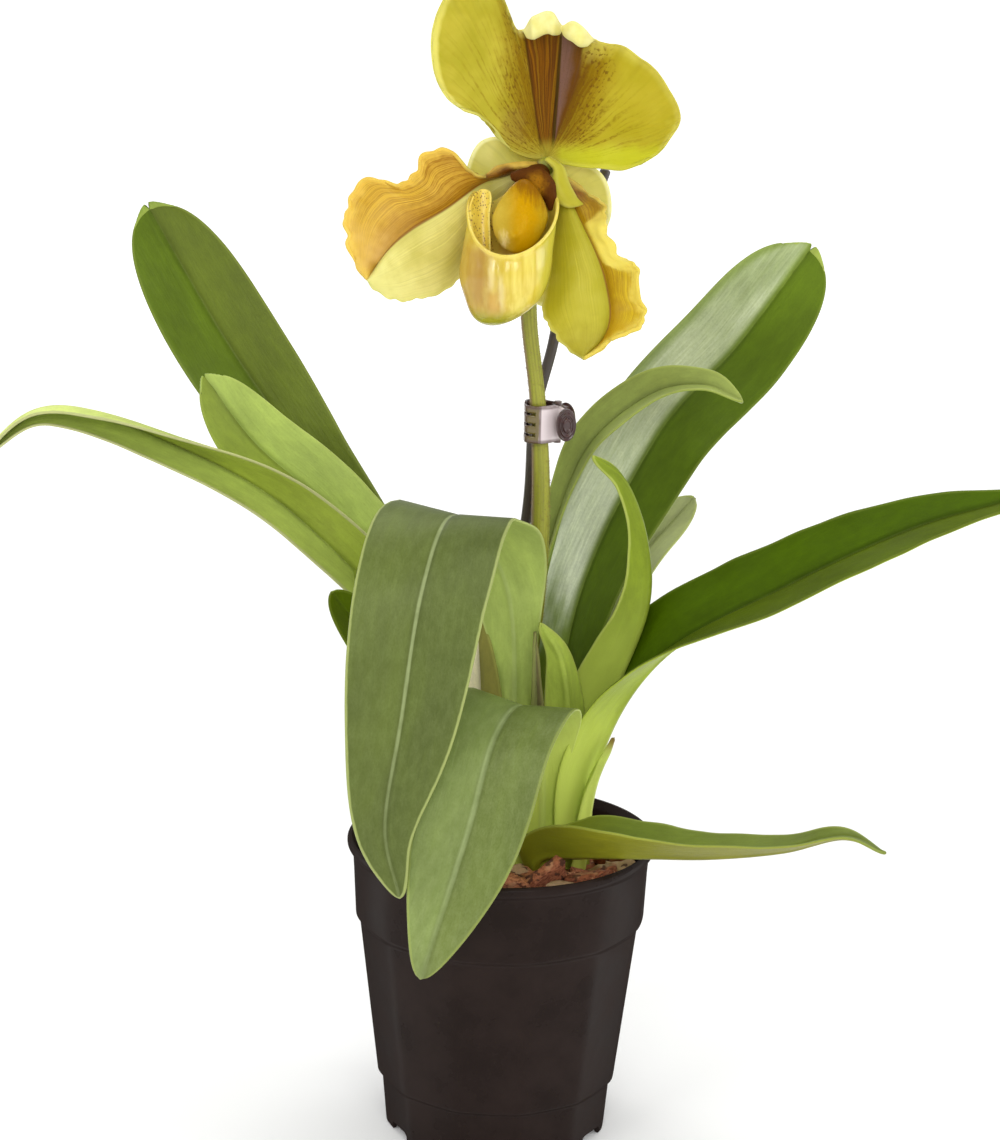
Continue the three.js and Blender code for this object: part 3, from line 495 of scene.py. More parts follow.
# Thin sheaths between the leaf bases, too slight for the solids, and a brownish grey sheet that paints in
# shade
SHEATHS = {
    "sheath_pale": dict(
        points=[[-6, -4, 100], [-8, -8, 150], [-9.5, -10, 186], [-12, -12, 217]],
        face=[[0.3, -0.9, 0.2], [0.2, -0.9, 0.2]],
        width=[17, 18, 17, 8], fold=[30, 20], tip=4,
        look=dict(upper=(132, 126, 62), left=(232, 222, 190), lower=(190, 180, 120), reach=(-90, -60),
                  rib_share=0.0)),
    # A brownish grey sheet along the front arch's right edge, standing in for the soft shade there, not a
    # real sheath
    "sheath_brown": dict(
        points=[[13, -4, 120], [13, -8, 160], [12, -14.5, 184], [11, -16.5, 204]],
        face=[[0.1, -0.9, 0.1], [0.2, -0.9, 0.2]],
        width=[5, 6, 5, 2], fold=[20], tip=3,
        look=dict(upper=(128, 118, 82), left=(146, 148, 92), lower=(120, 108, 76), reach=(-90, -60),
                  rib_share=0.0)),
}


def leaf_look(name, upper, lower, left=None, lime=LIME, reach=(45, 95), brown=0.0, rib=(164, 176, 110),
              rib_share=0.06,
              rib_wide=0.9, crease=0.28, margin=(176, 186, 92), margin_share=0.2, gloss=0.38, painted_sheen=0.0,
              dust=0.0, pale_tip=0.0):
    """upper is the colour of the upper side, left that of its left half when the leaf grows upwards. The
    tones of the two halves partly paint in light and shade, since the two sides of the fold face the light
    differently.
    """
    look = Look(name)
    # Across from the midrib, along from the base and in from the margin, in millimetres
    x, y, edge = look.mark("strip")
    side = look.mark("side")[0]
    share = look.mark("share")[1]
    broad = look.noise(look.at(x * 0.07, y * 0.022), 1.0, 3)
    cloud = look.noise(look.at(x * 0.35, y * 0.16), 1.0, 3, 0.6)
    streak = look.noise(look.at(x * 1.1, y * 0.05), 1.0, 3, 0.6)
    mottle = look.noise(look.at(x * 1.5, y * 0.9), 1.0, 4, 0.65)

    def toned(tone):
        return look.mix(look.step(broad, 0.3, 0.7), shade(tone, 1.05), shade(tone, 0.92))

    top = toned(upper)
    # The left half gets its own tone, partly painted light and shade of the fold's two sides
    if left:
        top = look.mix(look.step(x + (cloud - 0.5) * 1.0, -0.4, 0.4), top, toned(left))
    colour = look.mix(look.step(side, -0.4, 0.4), toned(lower), top)
    if painted_sheen:  # a painted whitish sheen, the gloss highlight on the left half, broken by fine cross wrinkles
        band = share + (broad - 0.5) * 0.5
        shine = look.step(band, 0.28, 0.46) * look.step(band, 1.05, 0.7, 0.35, 1.0)
        shine = shine * look.step(x, 0.3, 4.0) * look.step(edge, 1.0, 5.0, 0.25, 1.0)
        shine = shine * look.step(mottle, 0.3, 0.7, 0.9, 1.0) * look.step(side, 0.0, 0.5)
        shine = shine * look.step(streak, 0.3, 0.7, 0.75, 1.0)
        whitish = look.mix(look.step(share, 0.35, 0.75), (226, 232, 212), (184, 190, 160))
        colour = look.mix(shine * painted_sheen, colour, whitish)
    for pattern, low, high, share_of, tone in (
        (cloud, 0.35, 0.7, 0.24, 1.5),
        (mottle, 0.52, 0.3, 0.15, 0.45),
        (mottle, 0.6, 0.75, 0.12, 1.6),
        (streak, 0.5, 0.75, 0.16, 1.5),
        (streak, 0.45, 0.25, 0.16, 0.55),
    ):  # lighter and darker clouds, flecks and streaks
        colour = look.mix(look.step(pattern, low, high, 0.0, share_of), colour, (tone, tone, tone * 0.9, 1),
                          "MULTIPLY")
    if dust:  # pale dust of a dry surface in blotches
        spread = look.step(cloud, 0.2, 0.9, 0.4, 1.0) * look.step(mottle, 0.2, 0.8, 0.5, 1.0)
        colour = look.mix(spread * dust, colour, (156, 164, 128))
    if pale_tip:
        colour = look.mix(look.step(share, 0.8, 0.98, 0.0, pale_tip), colour, (1.5, 1.45, 1.7, 1), "MULTIPLY")
    base = look.step(y + broad * 30, reach[1] + 15, reach[0] + 15)
    colour = look.mix(base * 0.85, colour, lime)
    # Painted shade: the upper side darkens in the crease along the midrib
    beside = look.step(abs(x + (cloud - 0.5) * 0.8), 2.6, 0.4, 0.0, crease)
    beside = beside * look.step(side, -0.4, 0.4, 0.25, 1.0)
    colour = look.mix(beside, colour, (0.33, 0.33, 0.3, 1), "MULTIPLY")
    line = look.step(abs(x + (streak - 0.5) * 0.5), rib_wide, rib_wide * 0.3)
    line = line * look.step(side, -0.9, 0.6, 0.4 * rib_share, rib_share)
    line = line * look.step(share, 1.0, 0.75, 0.3, 1.0) * look.step(cloud, 0.2, 0.7, 0.65, 1.0)
    colour = look.mix(line, colour, rib)
    rim = look.step(edge + (cloud - 0.5) * 0.8, 0.75, 0.1, 0.0, margin_share)
    colour = look.mix(rim, colour, margin)
    if brown:
        tip = look.step(share + (mottle - 0.5) * 0.02, 0.985 - 0.03 * brown, 1.0)
        colour = look.mix(tip * 0.9, colour, (120, 84, 40))
    grain = look.noise(look.at(x * 2.2, y * 1.6), 1.0, 3, 0.6)
    normal = look.bump(grain, 0.35, 0.08)
    normal = look.bump(streak, 0.35, 0.25, normal)
    normal = look.bump(cloud, 0.3, 0.5, normal)
    rough = look.step(grain, 0.3, 0.7, 0.32, 0.44) + cloud * 0.1
    return look.finish(colour, rough, normal, Specular_IOR_Level=gloss, Specular_Tint=(0.9, 1.0, 0.55, 1.0))


def leaf(name, points, face, width, fold, tip, look, curl=(0,), notch=0, rows=110, half_columns=15,
         extra=False):
    t = 1 - (1 - np.arange(rows) / rows) ** 1.5
    j = np.arange(-half_columns, half_columns + 1) / half_columns
    s = np.sign(j) * np.abs(j) ** 1.35
    rib, length = even(points, t)
    before, _ = even(points, np.clip(t - 2e-3, 0, 1))
    after, _ = even(points, np.clip(t + 2e-3, 0, 1))
    way = unit(after - before)
    looks_to = unit(along([unit(np.array(f, float)) for f in face], t))
    up = unit(looks_to - way * (looks_to * way).sum(1, keepdims=True))
    across = np.cross(up, way)
    half = along(width, t) / 2 * np.sqrt(np.clip(1 - t**tip, 0, 1))
    f = np.radians(along(fold, t))[:, None]
    c = np.maximum(np.radians(along(curl, t)), 1e-4)[:, None]
    a = np.abs(s)[None, :]
    h = half[:, None]
    out = h * (np.sin(f + c * a) - np.sin(f)) / c
    lift = h * (np.cos(f) - np.cos(f + c * a)) / c
    place = rib[:, None] + across[:, None] * (np.sign(s) * out)[..., None] + up[:, None] * lift[..., None]
    place = place + way[:, None] * (notch * (t**12)[:, None] * 4 * a * (1 - a))[..., None]
    x = s * h
    y = np.broadcast_to(t[:, None] * length, x.shape)
    # Slow waves of the blade and its margins, held still at the base
    seed = len(name) * 3.7
    lumps = wobble(np.stack([x, y, x * 0], -1).reshape(-1, 3), 26, seed).reshape(x.shape)
    frill = wobble(np.stack([np.sign(x) * 40, y, x * 0], -1).reshape(-1, 3), 13, seed + 5).reshape(x.shape)
    calm = smooth(t, 0.12, 0.4)[:, None]
    place = place + up[:, None] * ((0.5 * lumps * a + 0.45 * frill * a**3) * calm)[..., None]
    points_all = np.concatenate([place.reshape(-1, 3), even(points, [1.0])[0]])
    faces = grid_faces(rows, 2 * half_columns + 1)
    last = (rows - 1) * (2 * half_columns + 1)
    faces += [[last + k, last + k + 1, len(points_all) - 1] for k in range(2 * half_columns)]
    xs = np.append(x.ravel(), 0)
    ss = np.append(np.broadcast_to(a, x.shape).ravel(), 0)
    thick = (BLADE_RIB + (BLADE_EDGE - BLADE_RIB) * ss) / 2
    fade = np.append(np.broadcast_to(1 - smooth(t, 0.9, 1)[:, None], x.shape).ravel(), 0)
    groove = 0.42 * np.exp(-((xs / 0.9) ** 2)) * fade
    keel = 0.55 * np.exp(-((xs / 1.3) ** 2)) * fade
    marks = {
        "strip": np.stack([xs, np.append(y.ravel(), length), np.append((h - np.abs(x)).ravel(), 0)], -1),
        "share": np.stack([np.append(np.broadcast_to(s, x.shape).ravel(), 0),
                           np.append(np.broadcast_to(t[:, None], x.shape).ravel(), 1), xs * 0], -1),
    }
    verts, faces, marks = body_of_sheet(points_all, faces, thick - groove, thick + keel, marks, flip=True)
    return make(name + "_blade", verts, faces, marks, leaf_look(name, **look),
                replaces=[] if extra else [name])


for leaf_name, spec in LEAVES.items():
    leaf(leaf_name, **spec)
for leaf_name, spec in SHEATHS.items():
    leaf(leaf_name, extra=True, rows=60, half_columns=8, **spec)


# Rods: flower stem with its hairs, and stake
def tube(points, radius, sides, steps, ends=4):
    """Closed tube with rounded ends along a smooth curve, and its frames."""
    t = np.linspace(0, 1, steps + 1)
    line, length = even(points, t)
    way = unit(np.gradient(line, axis=0))
    side = np.zeros_like(line)
    reference = np.array([1.0, 0, 0])
    for i in range(len(t)):
        reference = unit(reference - way[i] * (reference @ way[i]))
        side[i] = reference
    other = np.cross(way, side)
    r = along(radius, t)
    rings = []
    for i in range(ends, 0, -1):
        turn = math.pi / 2 * i / (ends + 0.35)
        rings.append((line[0] - way[0] * r[0] * 0.6 * math.sin(turn), side[0], other[0],
                      r[0] * math.cos(turn), 0.0))
    for i in range(len(t)):
        rings.append((line[i], side[i], other[i], r[i], t[i]))
    for i in range(1, ends + 1):
        turn = math.pi / 2 * i / (ends + 0.35)
        rings.append((line[-1] + way[-1] * r[-1] * 0.6 * math.sin(turn), side[-1], other[-1],
                      r[-1] * math.cos(turn), 1.0))
    angle = np.linspace(0, 2 * math.pi, sides, endpoint=False)
    verts, marks = [], []
    for centre, u, v, radius_here, share in rings:
        verts.append(centre + radius_here * (np.cos(angle)[:, None] * u + np.sin(angle)[:, None] * v))
        marks.append(np.stack([np.cos(angle), np.sin(angle), np.full(sides, share * length)], -1))
    faces = grid_faces(len(rings), sides, closed=True)
    faces.append(list(range(sides))[::-1])
    faces.append([(len(rings) - 1) * sides + k for k in range(sides)])
    return np.concatenate(verts), faces, {"turn": np.concatenate(marks)}, (line, way, side, other, r, length)


STEM_PATH = [[0, 4, 94], [3, 2, 131], [7, -1, 173], [11, -5, 214], [12, -8, 253], [10, -11, 290],
             [6, -15, 322], [6, -13, 345], [9, -10, 364], [12, -14, 376], [12, -22, 379.5], [10, -29, 378]]
STEM_RADII = [3.9, 3.7, 3.6, 3.5, 3.5, 3.6, 3.4, 3.0, 2.9, 3.1, 3.3, 3.3]
STAKE_PATH = [[-14, 13, 20], [-3, 6, 175], [6.8, 0, 245], [8.8, -3.4, 283], [15, 0, 310], [20, 5, 336],
              [33, 9, 374]]


def stem_look():
    look = Look("stem")
    c, s, run = look.mark("turn")
    streak = look.noise(look.at(c * 4, s * 4, run * 0.02), 1.0, 3)
    fleck = look.noise(look.at(c * 9, s * 9, run * 1.6), 1.0, 2)
    colour = look.mix(look.step(streak, 0.35, 0.65), (160, 160, 50), (138, 140, 40))
    shadow = look.step(c + (streak - 0.5) * 0.5, -0.45, -0.95, 0.0, 0.75)
    colour = look.mix(shadow, colour, (128, 96, 74))
    colour = look.mix(look.step(fleck, 0.62, 0.72, 0.0, 0.55), colour, (112, 84, 46))
    normal = look.bump(streak, 0.4, 0.4)
    normal = look.bump(fleck, 0.5, 0.2, normal)
    return look.finish(colour, look.step(fleck, 0.3, 0.7, 0.42, 0.6), normal, Subsurface_Weight=0.08,
                       Subsurface_Radius=(0.002, 0.0015, 0.0008), Subsurface_Scale=1.0)


def hair_look():
    look = Look("stem_hair")
    shade = look.noise(look.place(), 0.6, 2)
    colour = look.mix(look.step(shade, 0.35, 0.65), (150, 118, 84), (118, 82, 62))
    return look.finish(colour, 0.55)


def stake_look():
    look = Look("stake")
    c, s, run = look.mark("turn")
    grain = look.noise(look.at(c * 6, s * 6, run * 0.03), 1.0, 3)
    colour = look.mix(grain, (58, 50, 46), (76, 66, 60))
    return look.finish(colour, look.step(grain, 0.3, 0.7, 0.28, 0.45), look.bump(grain, 0.4, 0.15),
                       Coat_Weight=0.2,
                       Coat_Roughness=0.2)


STEM_HAIRS, HAIR_WIDTH = 3600, 0.07


def stem():
    verts, faces, marks, frames = tube(STEM_PATH, STEM_RADII, 40, 160)
    make("stem_skin", verts, faces, marks, stem_look(), replaces=["flower_stem"])
    line, way, side, other, r, _ = frames
    rng = random.Random(4)
    parts = []
    for _ in range(STEM_HAIRS):
        i = rng.uniform(30, 156)
        k = int(i)
        angle = rng.uniform(0, 2 * math.pi)
        out = math.cos(angle) * side[k] + math.sin(angle) * other[k]
        round_way = -math.sin(angle) * side[k] + math.cos(angle) * other[k]
        foot = line[k] + (i - k) * (line[k + 1] - line[k]) + out * (r[k] - 0.1)
        lean = out + way[k] * rng.uniform(-0.5, 0.5) + round_way * rng.uniform(-0.4, 0.4)
        reach = rng.uniform(0.55, 1.25)
        top = foot + unit(lean) * reach + way[k] * -0.12 * reach
        low, aside = foot - way[k] * HAIR_WIDTH * 0.5, round_way * HAIR_WIDTH * 0.9
        ring = [foot + way[k] * HAIR_WIDTH, low + aside, low - aside, top]
        parts.append((np.array(ring), [[1, 0, 3], [2, 1, 3], [0, 2, 3], [0, 1, 2]], {}))
    verts, faces, _ = join(parts)
    make("stem_hairs", verts, faces, {}, hair_look())
    verts, faces, marks, _ = tube(STAKE_PATH, [2.0], 32, 120)
    make("stake_rod", verts, faces, marks, stake_look(), replaces=["stake"])


stem()

# Bloom, in its own frame: x to the right, y away from the viewer, z up, from the point where its parts meet
BLOOM_AT = np.array([11, -31.6, 381.7])
BLOOM_TURN = np.array(Matrix.Rotation(math.radians(-1.2), 3,
                                      "Y") @ Matrix.Rotation(math.radians(-4.3), 3, "X"))


def placed(points):
    return np.asarray(points) @ BLOOM_TURN.T + BLOOM_AT


DORSAL_MARGIN = [[-29, 16.5], [-35, 21], [-39, 28.5], [-40.3, 39], [-38.9, 47.5], [-35.4, 55], [-31, 60],
                 [-25, 62],
                 [-18.5, 59], [-15, 53], [-11, 45.5], [-7.4, 43.5], [-4.2, 47.8], [0.4, 50.3], [4.3, 45.2],
                 [8.4, 47.2], [13, 41.5], [20, 39], [26, 38], [31.6, 34], [36.9, 30], [41.3, 23.9],
                 [44.8, 17.7],
                 [45.5, 12.3], [42.4, 7], [38.5, 2], [32.5, -2]]
LIP_FROM = 10  # the margin points from here on are the roots of the rolled lips instead
LIP_ROOT = [[-11.4, 44.4], [-8, 43.0], [-4.2, 44.9], [0.2, 46.4], [4.4, 44.2], [8.6, 43.4], [13, 40.6]]
DORSAL_LEFT = [[0, 0], [-5, 0], [-10, 1.5], [-14.5, 4.5], [-18.5, 10], [-23.5, 14.5], [-29, 16.5]]
DORSAL_RIGHT = [[0, 0], [6.5, -2], [13, -3], [19, -3.3], [26, -4], [32.5, -2]]


def dorsal_look():
    look = Look("dorsal_sepal")
    x, _, z = look.mark("own")
    u, v, rolled = look.mark("share")
    edge = look.mark("edge")[0]
    side = look.mark("side")[0]
    place = look.at(x, 0.0, z)
    broad = look.noise(place, 0.07, 3) - 0.5
    cloud = look.noise(place, 0.25, 3) - 0.5
    wide = u + (look.noise(place, 0.12, 2) - 0.5) * 0.014
    veins = look.noise(look.at(wide * 95, v * 1.3), 1.0, 2, 0.5)
    dots = look.noise(look.at(wide * 130, v * 34), 1.0, 2, 0.5)
    fine = look.noise(place, 1.5, 2, 0.6)
    colour = look.mix(look.step(broad, -0.2, 0.2), (180, 169, 58), (158, 151, 38))
    colour = look.mix(look.step(x + cloud * 8, 6, 16, 0.0, 0.5), colour, (166, 150, 16))
    colour = look.mix(look.step(veins, 0.5, 0.7, 0.0, 0.18), colour, (150, 148, 20))
    # The strip's lines: its left edge, the midrib and the right edge of its mauve band
    left = z * -0.147 + (-2.35 + cloud * 0.5)
    rib = z * 0.075 + 1.7
    from_rib = x - rib
    mauve_width = look.smaller(z * 0.3 - 1.0, 7.4)
    beyond = from_rib - mauve_width + cloud * 3
    # Olive-brown flush on both sides, strongest beside the strip
    right_side = look.step(beyond, 17.0, 3.0) * look.step(x, 0, 4)
    right_side = right_side * look.step(z + cloud * 8, 41, 33, 0.25, 1.0)
    left_side = look.step(x + cloud * 9, -21, -6, 0.0, 1.0) * look.step(x, 0, -4)
    flush = (right_side + left_side) * look.step(z, 1, 9, 0.3, 1.0)
    colour = look.mix(flush * look.step(veins, 0.3, 0.6, 0.7, 1.0), colour, (128, 98, 2))
    near = look.step(beyond, 9.5, 0.5) * look.step(x, 2, 5) * look.step(z, 2, 10)
    aside = left - x + cloud * 4
    near_left = look.step(aside, 9.0, 0.5) * look.step(x, 1, -2) * look.step(z, 4, 14)
    colour = look.mix(near_left * look.step(veins, 0.35, 0.6, 0.35, 0.8), colour, (116, 88, 8))
    colour = look.mix(near * look.step(veins, 0.35, 0.6, 0.45, 0.95), colour, (96, 64, 6))
    # Broad pale patches near the margin are painted highlights
    light = look.step(broad, 0.0, 0.2) * look.step(edge, 16, 3)
    colour = look.mix(light * 0.35, colour, (216, 206, 92))
    # Veins that fan from the base, drawn out in dots
    fan = look.step(v, 0.98, 0.3) * look.step(veins, 0.5, 0.6)
    colour = look.mix(fan * look.step(dots, 0.42, 0.6, 0.2, 0.75), colour, (112, 80, 14))
    spots = look.step(dots, 0.54, 0.64) * look.step(flush, 0.1, 0.6)
    colour = look.mix(spots * 0.7, colour, (92, 56, 14))
    dusky = look.step(abs(x + cloud * 6 + 12), 6, 2) * look.step(abs(z - 11), 9, 3)
    colour = look.mix(dusky * 0.25, colour, (120, 92, 50))
    # Brown strip between its two dark lines, with the midrib
    inside = look.step(x - left, -0.3, 0.5) * look.step(from_rib - mauve_width, 1.0, -0.4)
    stripes = look.noise(look.at(wide * 230, v * 1.6), 1.0, 3, 0.6)
    brown = look.mix(look.step(stripes, 0.36, 0.64), (122, 72, 6), (76, 36, 6))
    brown = look.mix(look.step(stripes, 0.6, 0.7, 0.0, 0.4), brown, (132, 94, 14))
    bands = look.noise(look.at(wide * 105, v * 0.9), 1.0, 1, 0.4)
    brown = look.mix(look.step(bands, 0.52, 0.62, 0.0, 0.6), brown, (126, 92, 14))
    brown = look.mix(look.step(bands, 0.46, 0.36, 0.0, 0.6), brown, (72, 34, 14))
    mauve = look.mix(look.step(from_rib / look.larger(mauve_width, 0.5) + cloud * 0.5, 0.35, 0.85),
                     (104, 74, 68), (88, 50, 12))
    mauve = look.mix(look.step(stripes, 0.45, 0.65, 0.0, 0.35), mauve, (84, 58, 46))
    brown = look.mix(look.step(from_rib, 0.1, 0.6), brown, mauve)
    brown = look.mix(look.step(abs(from_rib), 0.65, 0.2, 0.0, 0.9), brown, (40, 26, 8))
    left_line = look.step(abs(x - (left + 0.5)), 0.6, 0.2, 0.0, 0.75)
    brown = look.mix(left_line, brown, (62, 34, 8))
    brown = look.mix(look.step(fine, 0.55, 0.7, 0.0, 0.3), brown, (58, 30, 10))
    colour = look.mix(inside * look.step(z, 2.5, 8, 0.25, 1.0), colour, brown)
    # Lime foot, pale back, rolled lips and rim
    foot = look.step(z + cloud * 4, 6, 1) * look.step(x, 2, 6)
    colour = look.mix(foot * 0.7, colour, (186, 190, 40))
    colour = look.mix(look.step(side, 0.2, -0.6), colour, (196, 190, 90))
    colour = look.mix(rolled, colour, look.mix(look.step(cloud, -0.2, 0.3), (234, 226, 152), (222, 212, 122)))
    left_rim = look.step(u, 0.24, 0.12) * look.step(v, 0.8, 0.96)
    reach = left_rim * 1.3 + (0.9 + cloud * 1.2)
    colour = look.mix(look.step(edge - reach, 1.2, -0.8) * (0.22 + left_rim * 0.5), colour, (226, 218, 116))
    normal = look.bump(veins, 0.4, 0.4)
    normal = look.bump(look.noise(place, 1.4, 3, 0.6), 0.3, 0.12, normal)
    return look.finish(colour, look.step(veins, 0.3, 0.7, 0.40, 0.52), normal, Subsurface_Weight=0.2,
                       **GLOW, Specular_IOR_Level=0.2,
                       Specular_Tint=(1.0, 0.9, 0.2, 1.0))


def dorsal_sepal():
    columns, rows, lip_rows = 260, 44, 14
    u = np.linspace(0, 1, columns + 1)
    outline = np.array(DORSAL_MARGIN, float)
    outline[LIP_FROM:LIP_FROM + len(LIP_ROOT)] = LIP_ROOT
    margin = along(outline, u)
    first, last = np.array(DORSAL_MARGIN[0]), np.array(DORSAL_MARGIN[-1])
    # Two plump lips roll over the top margin towards the viewer
    lip = np.exp(-(((u - 0.483) / 0.047) ** 4)) + 0.7 * np.exp(-(((u - 0.588) / 0.034) ** 4))
    lip = np.minimum(lip + 0.22 * smooth(u, 0.36, 0.42) * (1 - smooth(u, 0.62, 0.67)), 1.08)
    radius = 0.35 + 3.1 * lip
    points, share, edge = [], [], []
    for i in range(1, rows + 1):
        v = 1 - (1 - i / rows) ** 1.25
        left = along(DORSAL_LEFT, [v])[0]
        right = along(DORSAL_RIGHT, [v])[0]
        flat = v * margin + (1 - u)[:, None] * (left - v * first) + u[:, None] * (right - v * last)
        x, z = flat[:, 0], flat[:, 1]
        bowl = 4 - 0.15 * x - 0.004 * (x - 5) ** 2 - 0.0015 * z * z
        channel = 3.5 * np.exp(-(((x - 1 - 0.08 * z) / 8) ** 2)) * v
        wave = 1.6 * np.sin(2 * math.pi * 5 * u) * v**4
        calm = np.clip(1 - lip, 0, 1)
        crinkle = (0.6 * np.sin(2 * math.pi * 17 * u + 2.2 * np.sin(2 * math.pi * 4 * u)) + 0.3
                   * np.sin(2 * math.pi * 41 * u)) * v**7
        ridge = -0.55 * np.exp(-(((x - 1.7 - 0.075 * z) / 0.7) ** 2)) * smooth(z, 2, 10)
        y = bowl + channel + wave + crinkle * calm + ridge - 4 * np.clip(lip, 0, 1) * v**8
        points.append(np.stack([x, y, z], -1))
        share.append(np.stack([u, np.full(columns + 1, v), u * 0], -1))
        edge.append(np.minimum((1 - v) * np.linalg.norm(margin, axis=1),
                               np.minimum(u * 3.2, (1 - u) * 3.2) * np.linalg.norm(flat, axis=1) + 0.2))
    rim = points[-1]
    outward = unit(margin)
    outward = np.stack([outward[:, 0], outward[:, 0] * 0, outward[:, 1]], -1)
    full_turn = np.radians(24 + 226 * smooth(lip, 0.1, 0.45))
    for i in range(1, lip_rows + 1):
        turn = (full_turn * i / lip_rows)[:, None]
        bulge = radius[:, None] * (outward * np.sin(turn) + np.array([0, -1, 0]) * (1 - np.cos(turn)))
        points.append(rim + bulge)
        share.append(np.stack([u, np.ones(columns + 1),
                               smooth(lip, 0.1, 0.35) * smooth(i / lip_rows, -0.1, 0.12)], -1))
        edge.append(np.where(lip > 0.2, 3.0, 0.0))
    centre = np.array([[0, 4.0, 0]])
    points = np.concatenate(points + [centre])
    share = np.concatenate(share + [[[0.5, 0, 0]]])
    edge = np.append(np.concatenate(edge), 3)
    faces = grid_faces(rows + lip_rows, columns + 1) + [[len(points) - 1, j + 1, j] for j in range(columns)]
    thick = 0.42 + 0.15 * np.exp(-edge / 0.8)
    marks = {"own": points, "share": share, "edge": in_x(edge)}
    verts, faces, marks = body_of_sheet(points, faces, thick, thick, marks)
    make("dorsal_sepal_skin", placed(verts), faces, marks, dorsal_look(), replaces=["dorsal_sepal"])


dorsal_sepal()

LEFT_PETAL = dict(
    upper=[[-4, 3, -2], [-11, 1, -2], [-17, -1, -3.5], [-23, -4, -6.5], [-28, -7, -4], [-33, -10, 1.5],
           [-39, -11, 2.5], [-44, -8, 0], [-46, -7, -6], [-52, -9, -9], [-58, -11, -8], [-63, -10, -7.5],
           [-68, -8, -13], [-70.5, -10, -20], [-69.5, -13, -28], [-67.5, -13, -36], [-63, -14, -42]],
    middle=[[-4, 4, -4], [-14, 2, -6], [-23.5, -3, -9], [-35, -8, -17], [-47.5, -11, -24.5], [-56, -13, -32],
            [-63, -14, -42]],
    lower=[[-4, 6, -6], [-12, 6, -13], [-18, 6, -22], [-26, 4, -33], [-32, 1, -43], [-38, -3, -47],
           [-44, -6, -48.5], [-52, -9, -49.5], [-60, -13, -46], [-63, -14, -42]],
    bulge=2.5, fold=(0.02, 0.06))
RIGHT_PETAL = dict(
    upper=[[2, 1, -2], [6, -2, -6], [12, -2, -11], [17, -1, -14], [20.5, -2, -16.5], [20, -5, -20.5],
           [20, -9, -25], [23, -7, -30], [25, -9, -34.5], [31, -14, -37], [31.5, -18, -41], [31, -19, -47],
           [34, -19, -54], [30, -24, -59], [24, -25, -61], [19, -24, -65], [12.5, -23, -69]],
    middle=[[3, 2, -3], [6, -1, -10], [10, -4, -18], [17.5, -9, -33.5], [21, -14, -44.5], [22, -19, -55],
            [19, -22, -63], [12.5, -23, -69]],
    lower=[[4, 4, -5], [4, 4, -14], [2.5, 3, -21], [1, 0, -31], [0, -4, -43], [-1, -10, -54], [3, -17, -61],
           [7, -20, -65.5], [12.5, -23, -69]],
    bulge=2, fold=(0.29, 0.52))


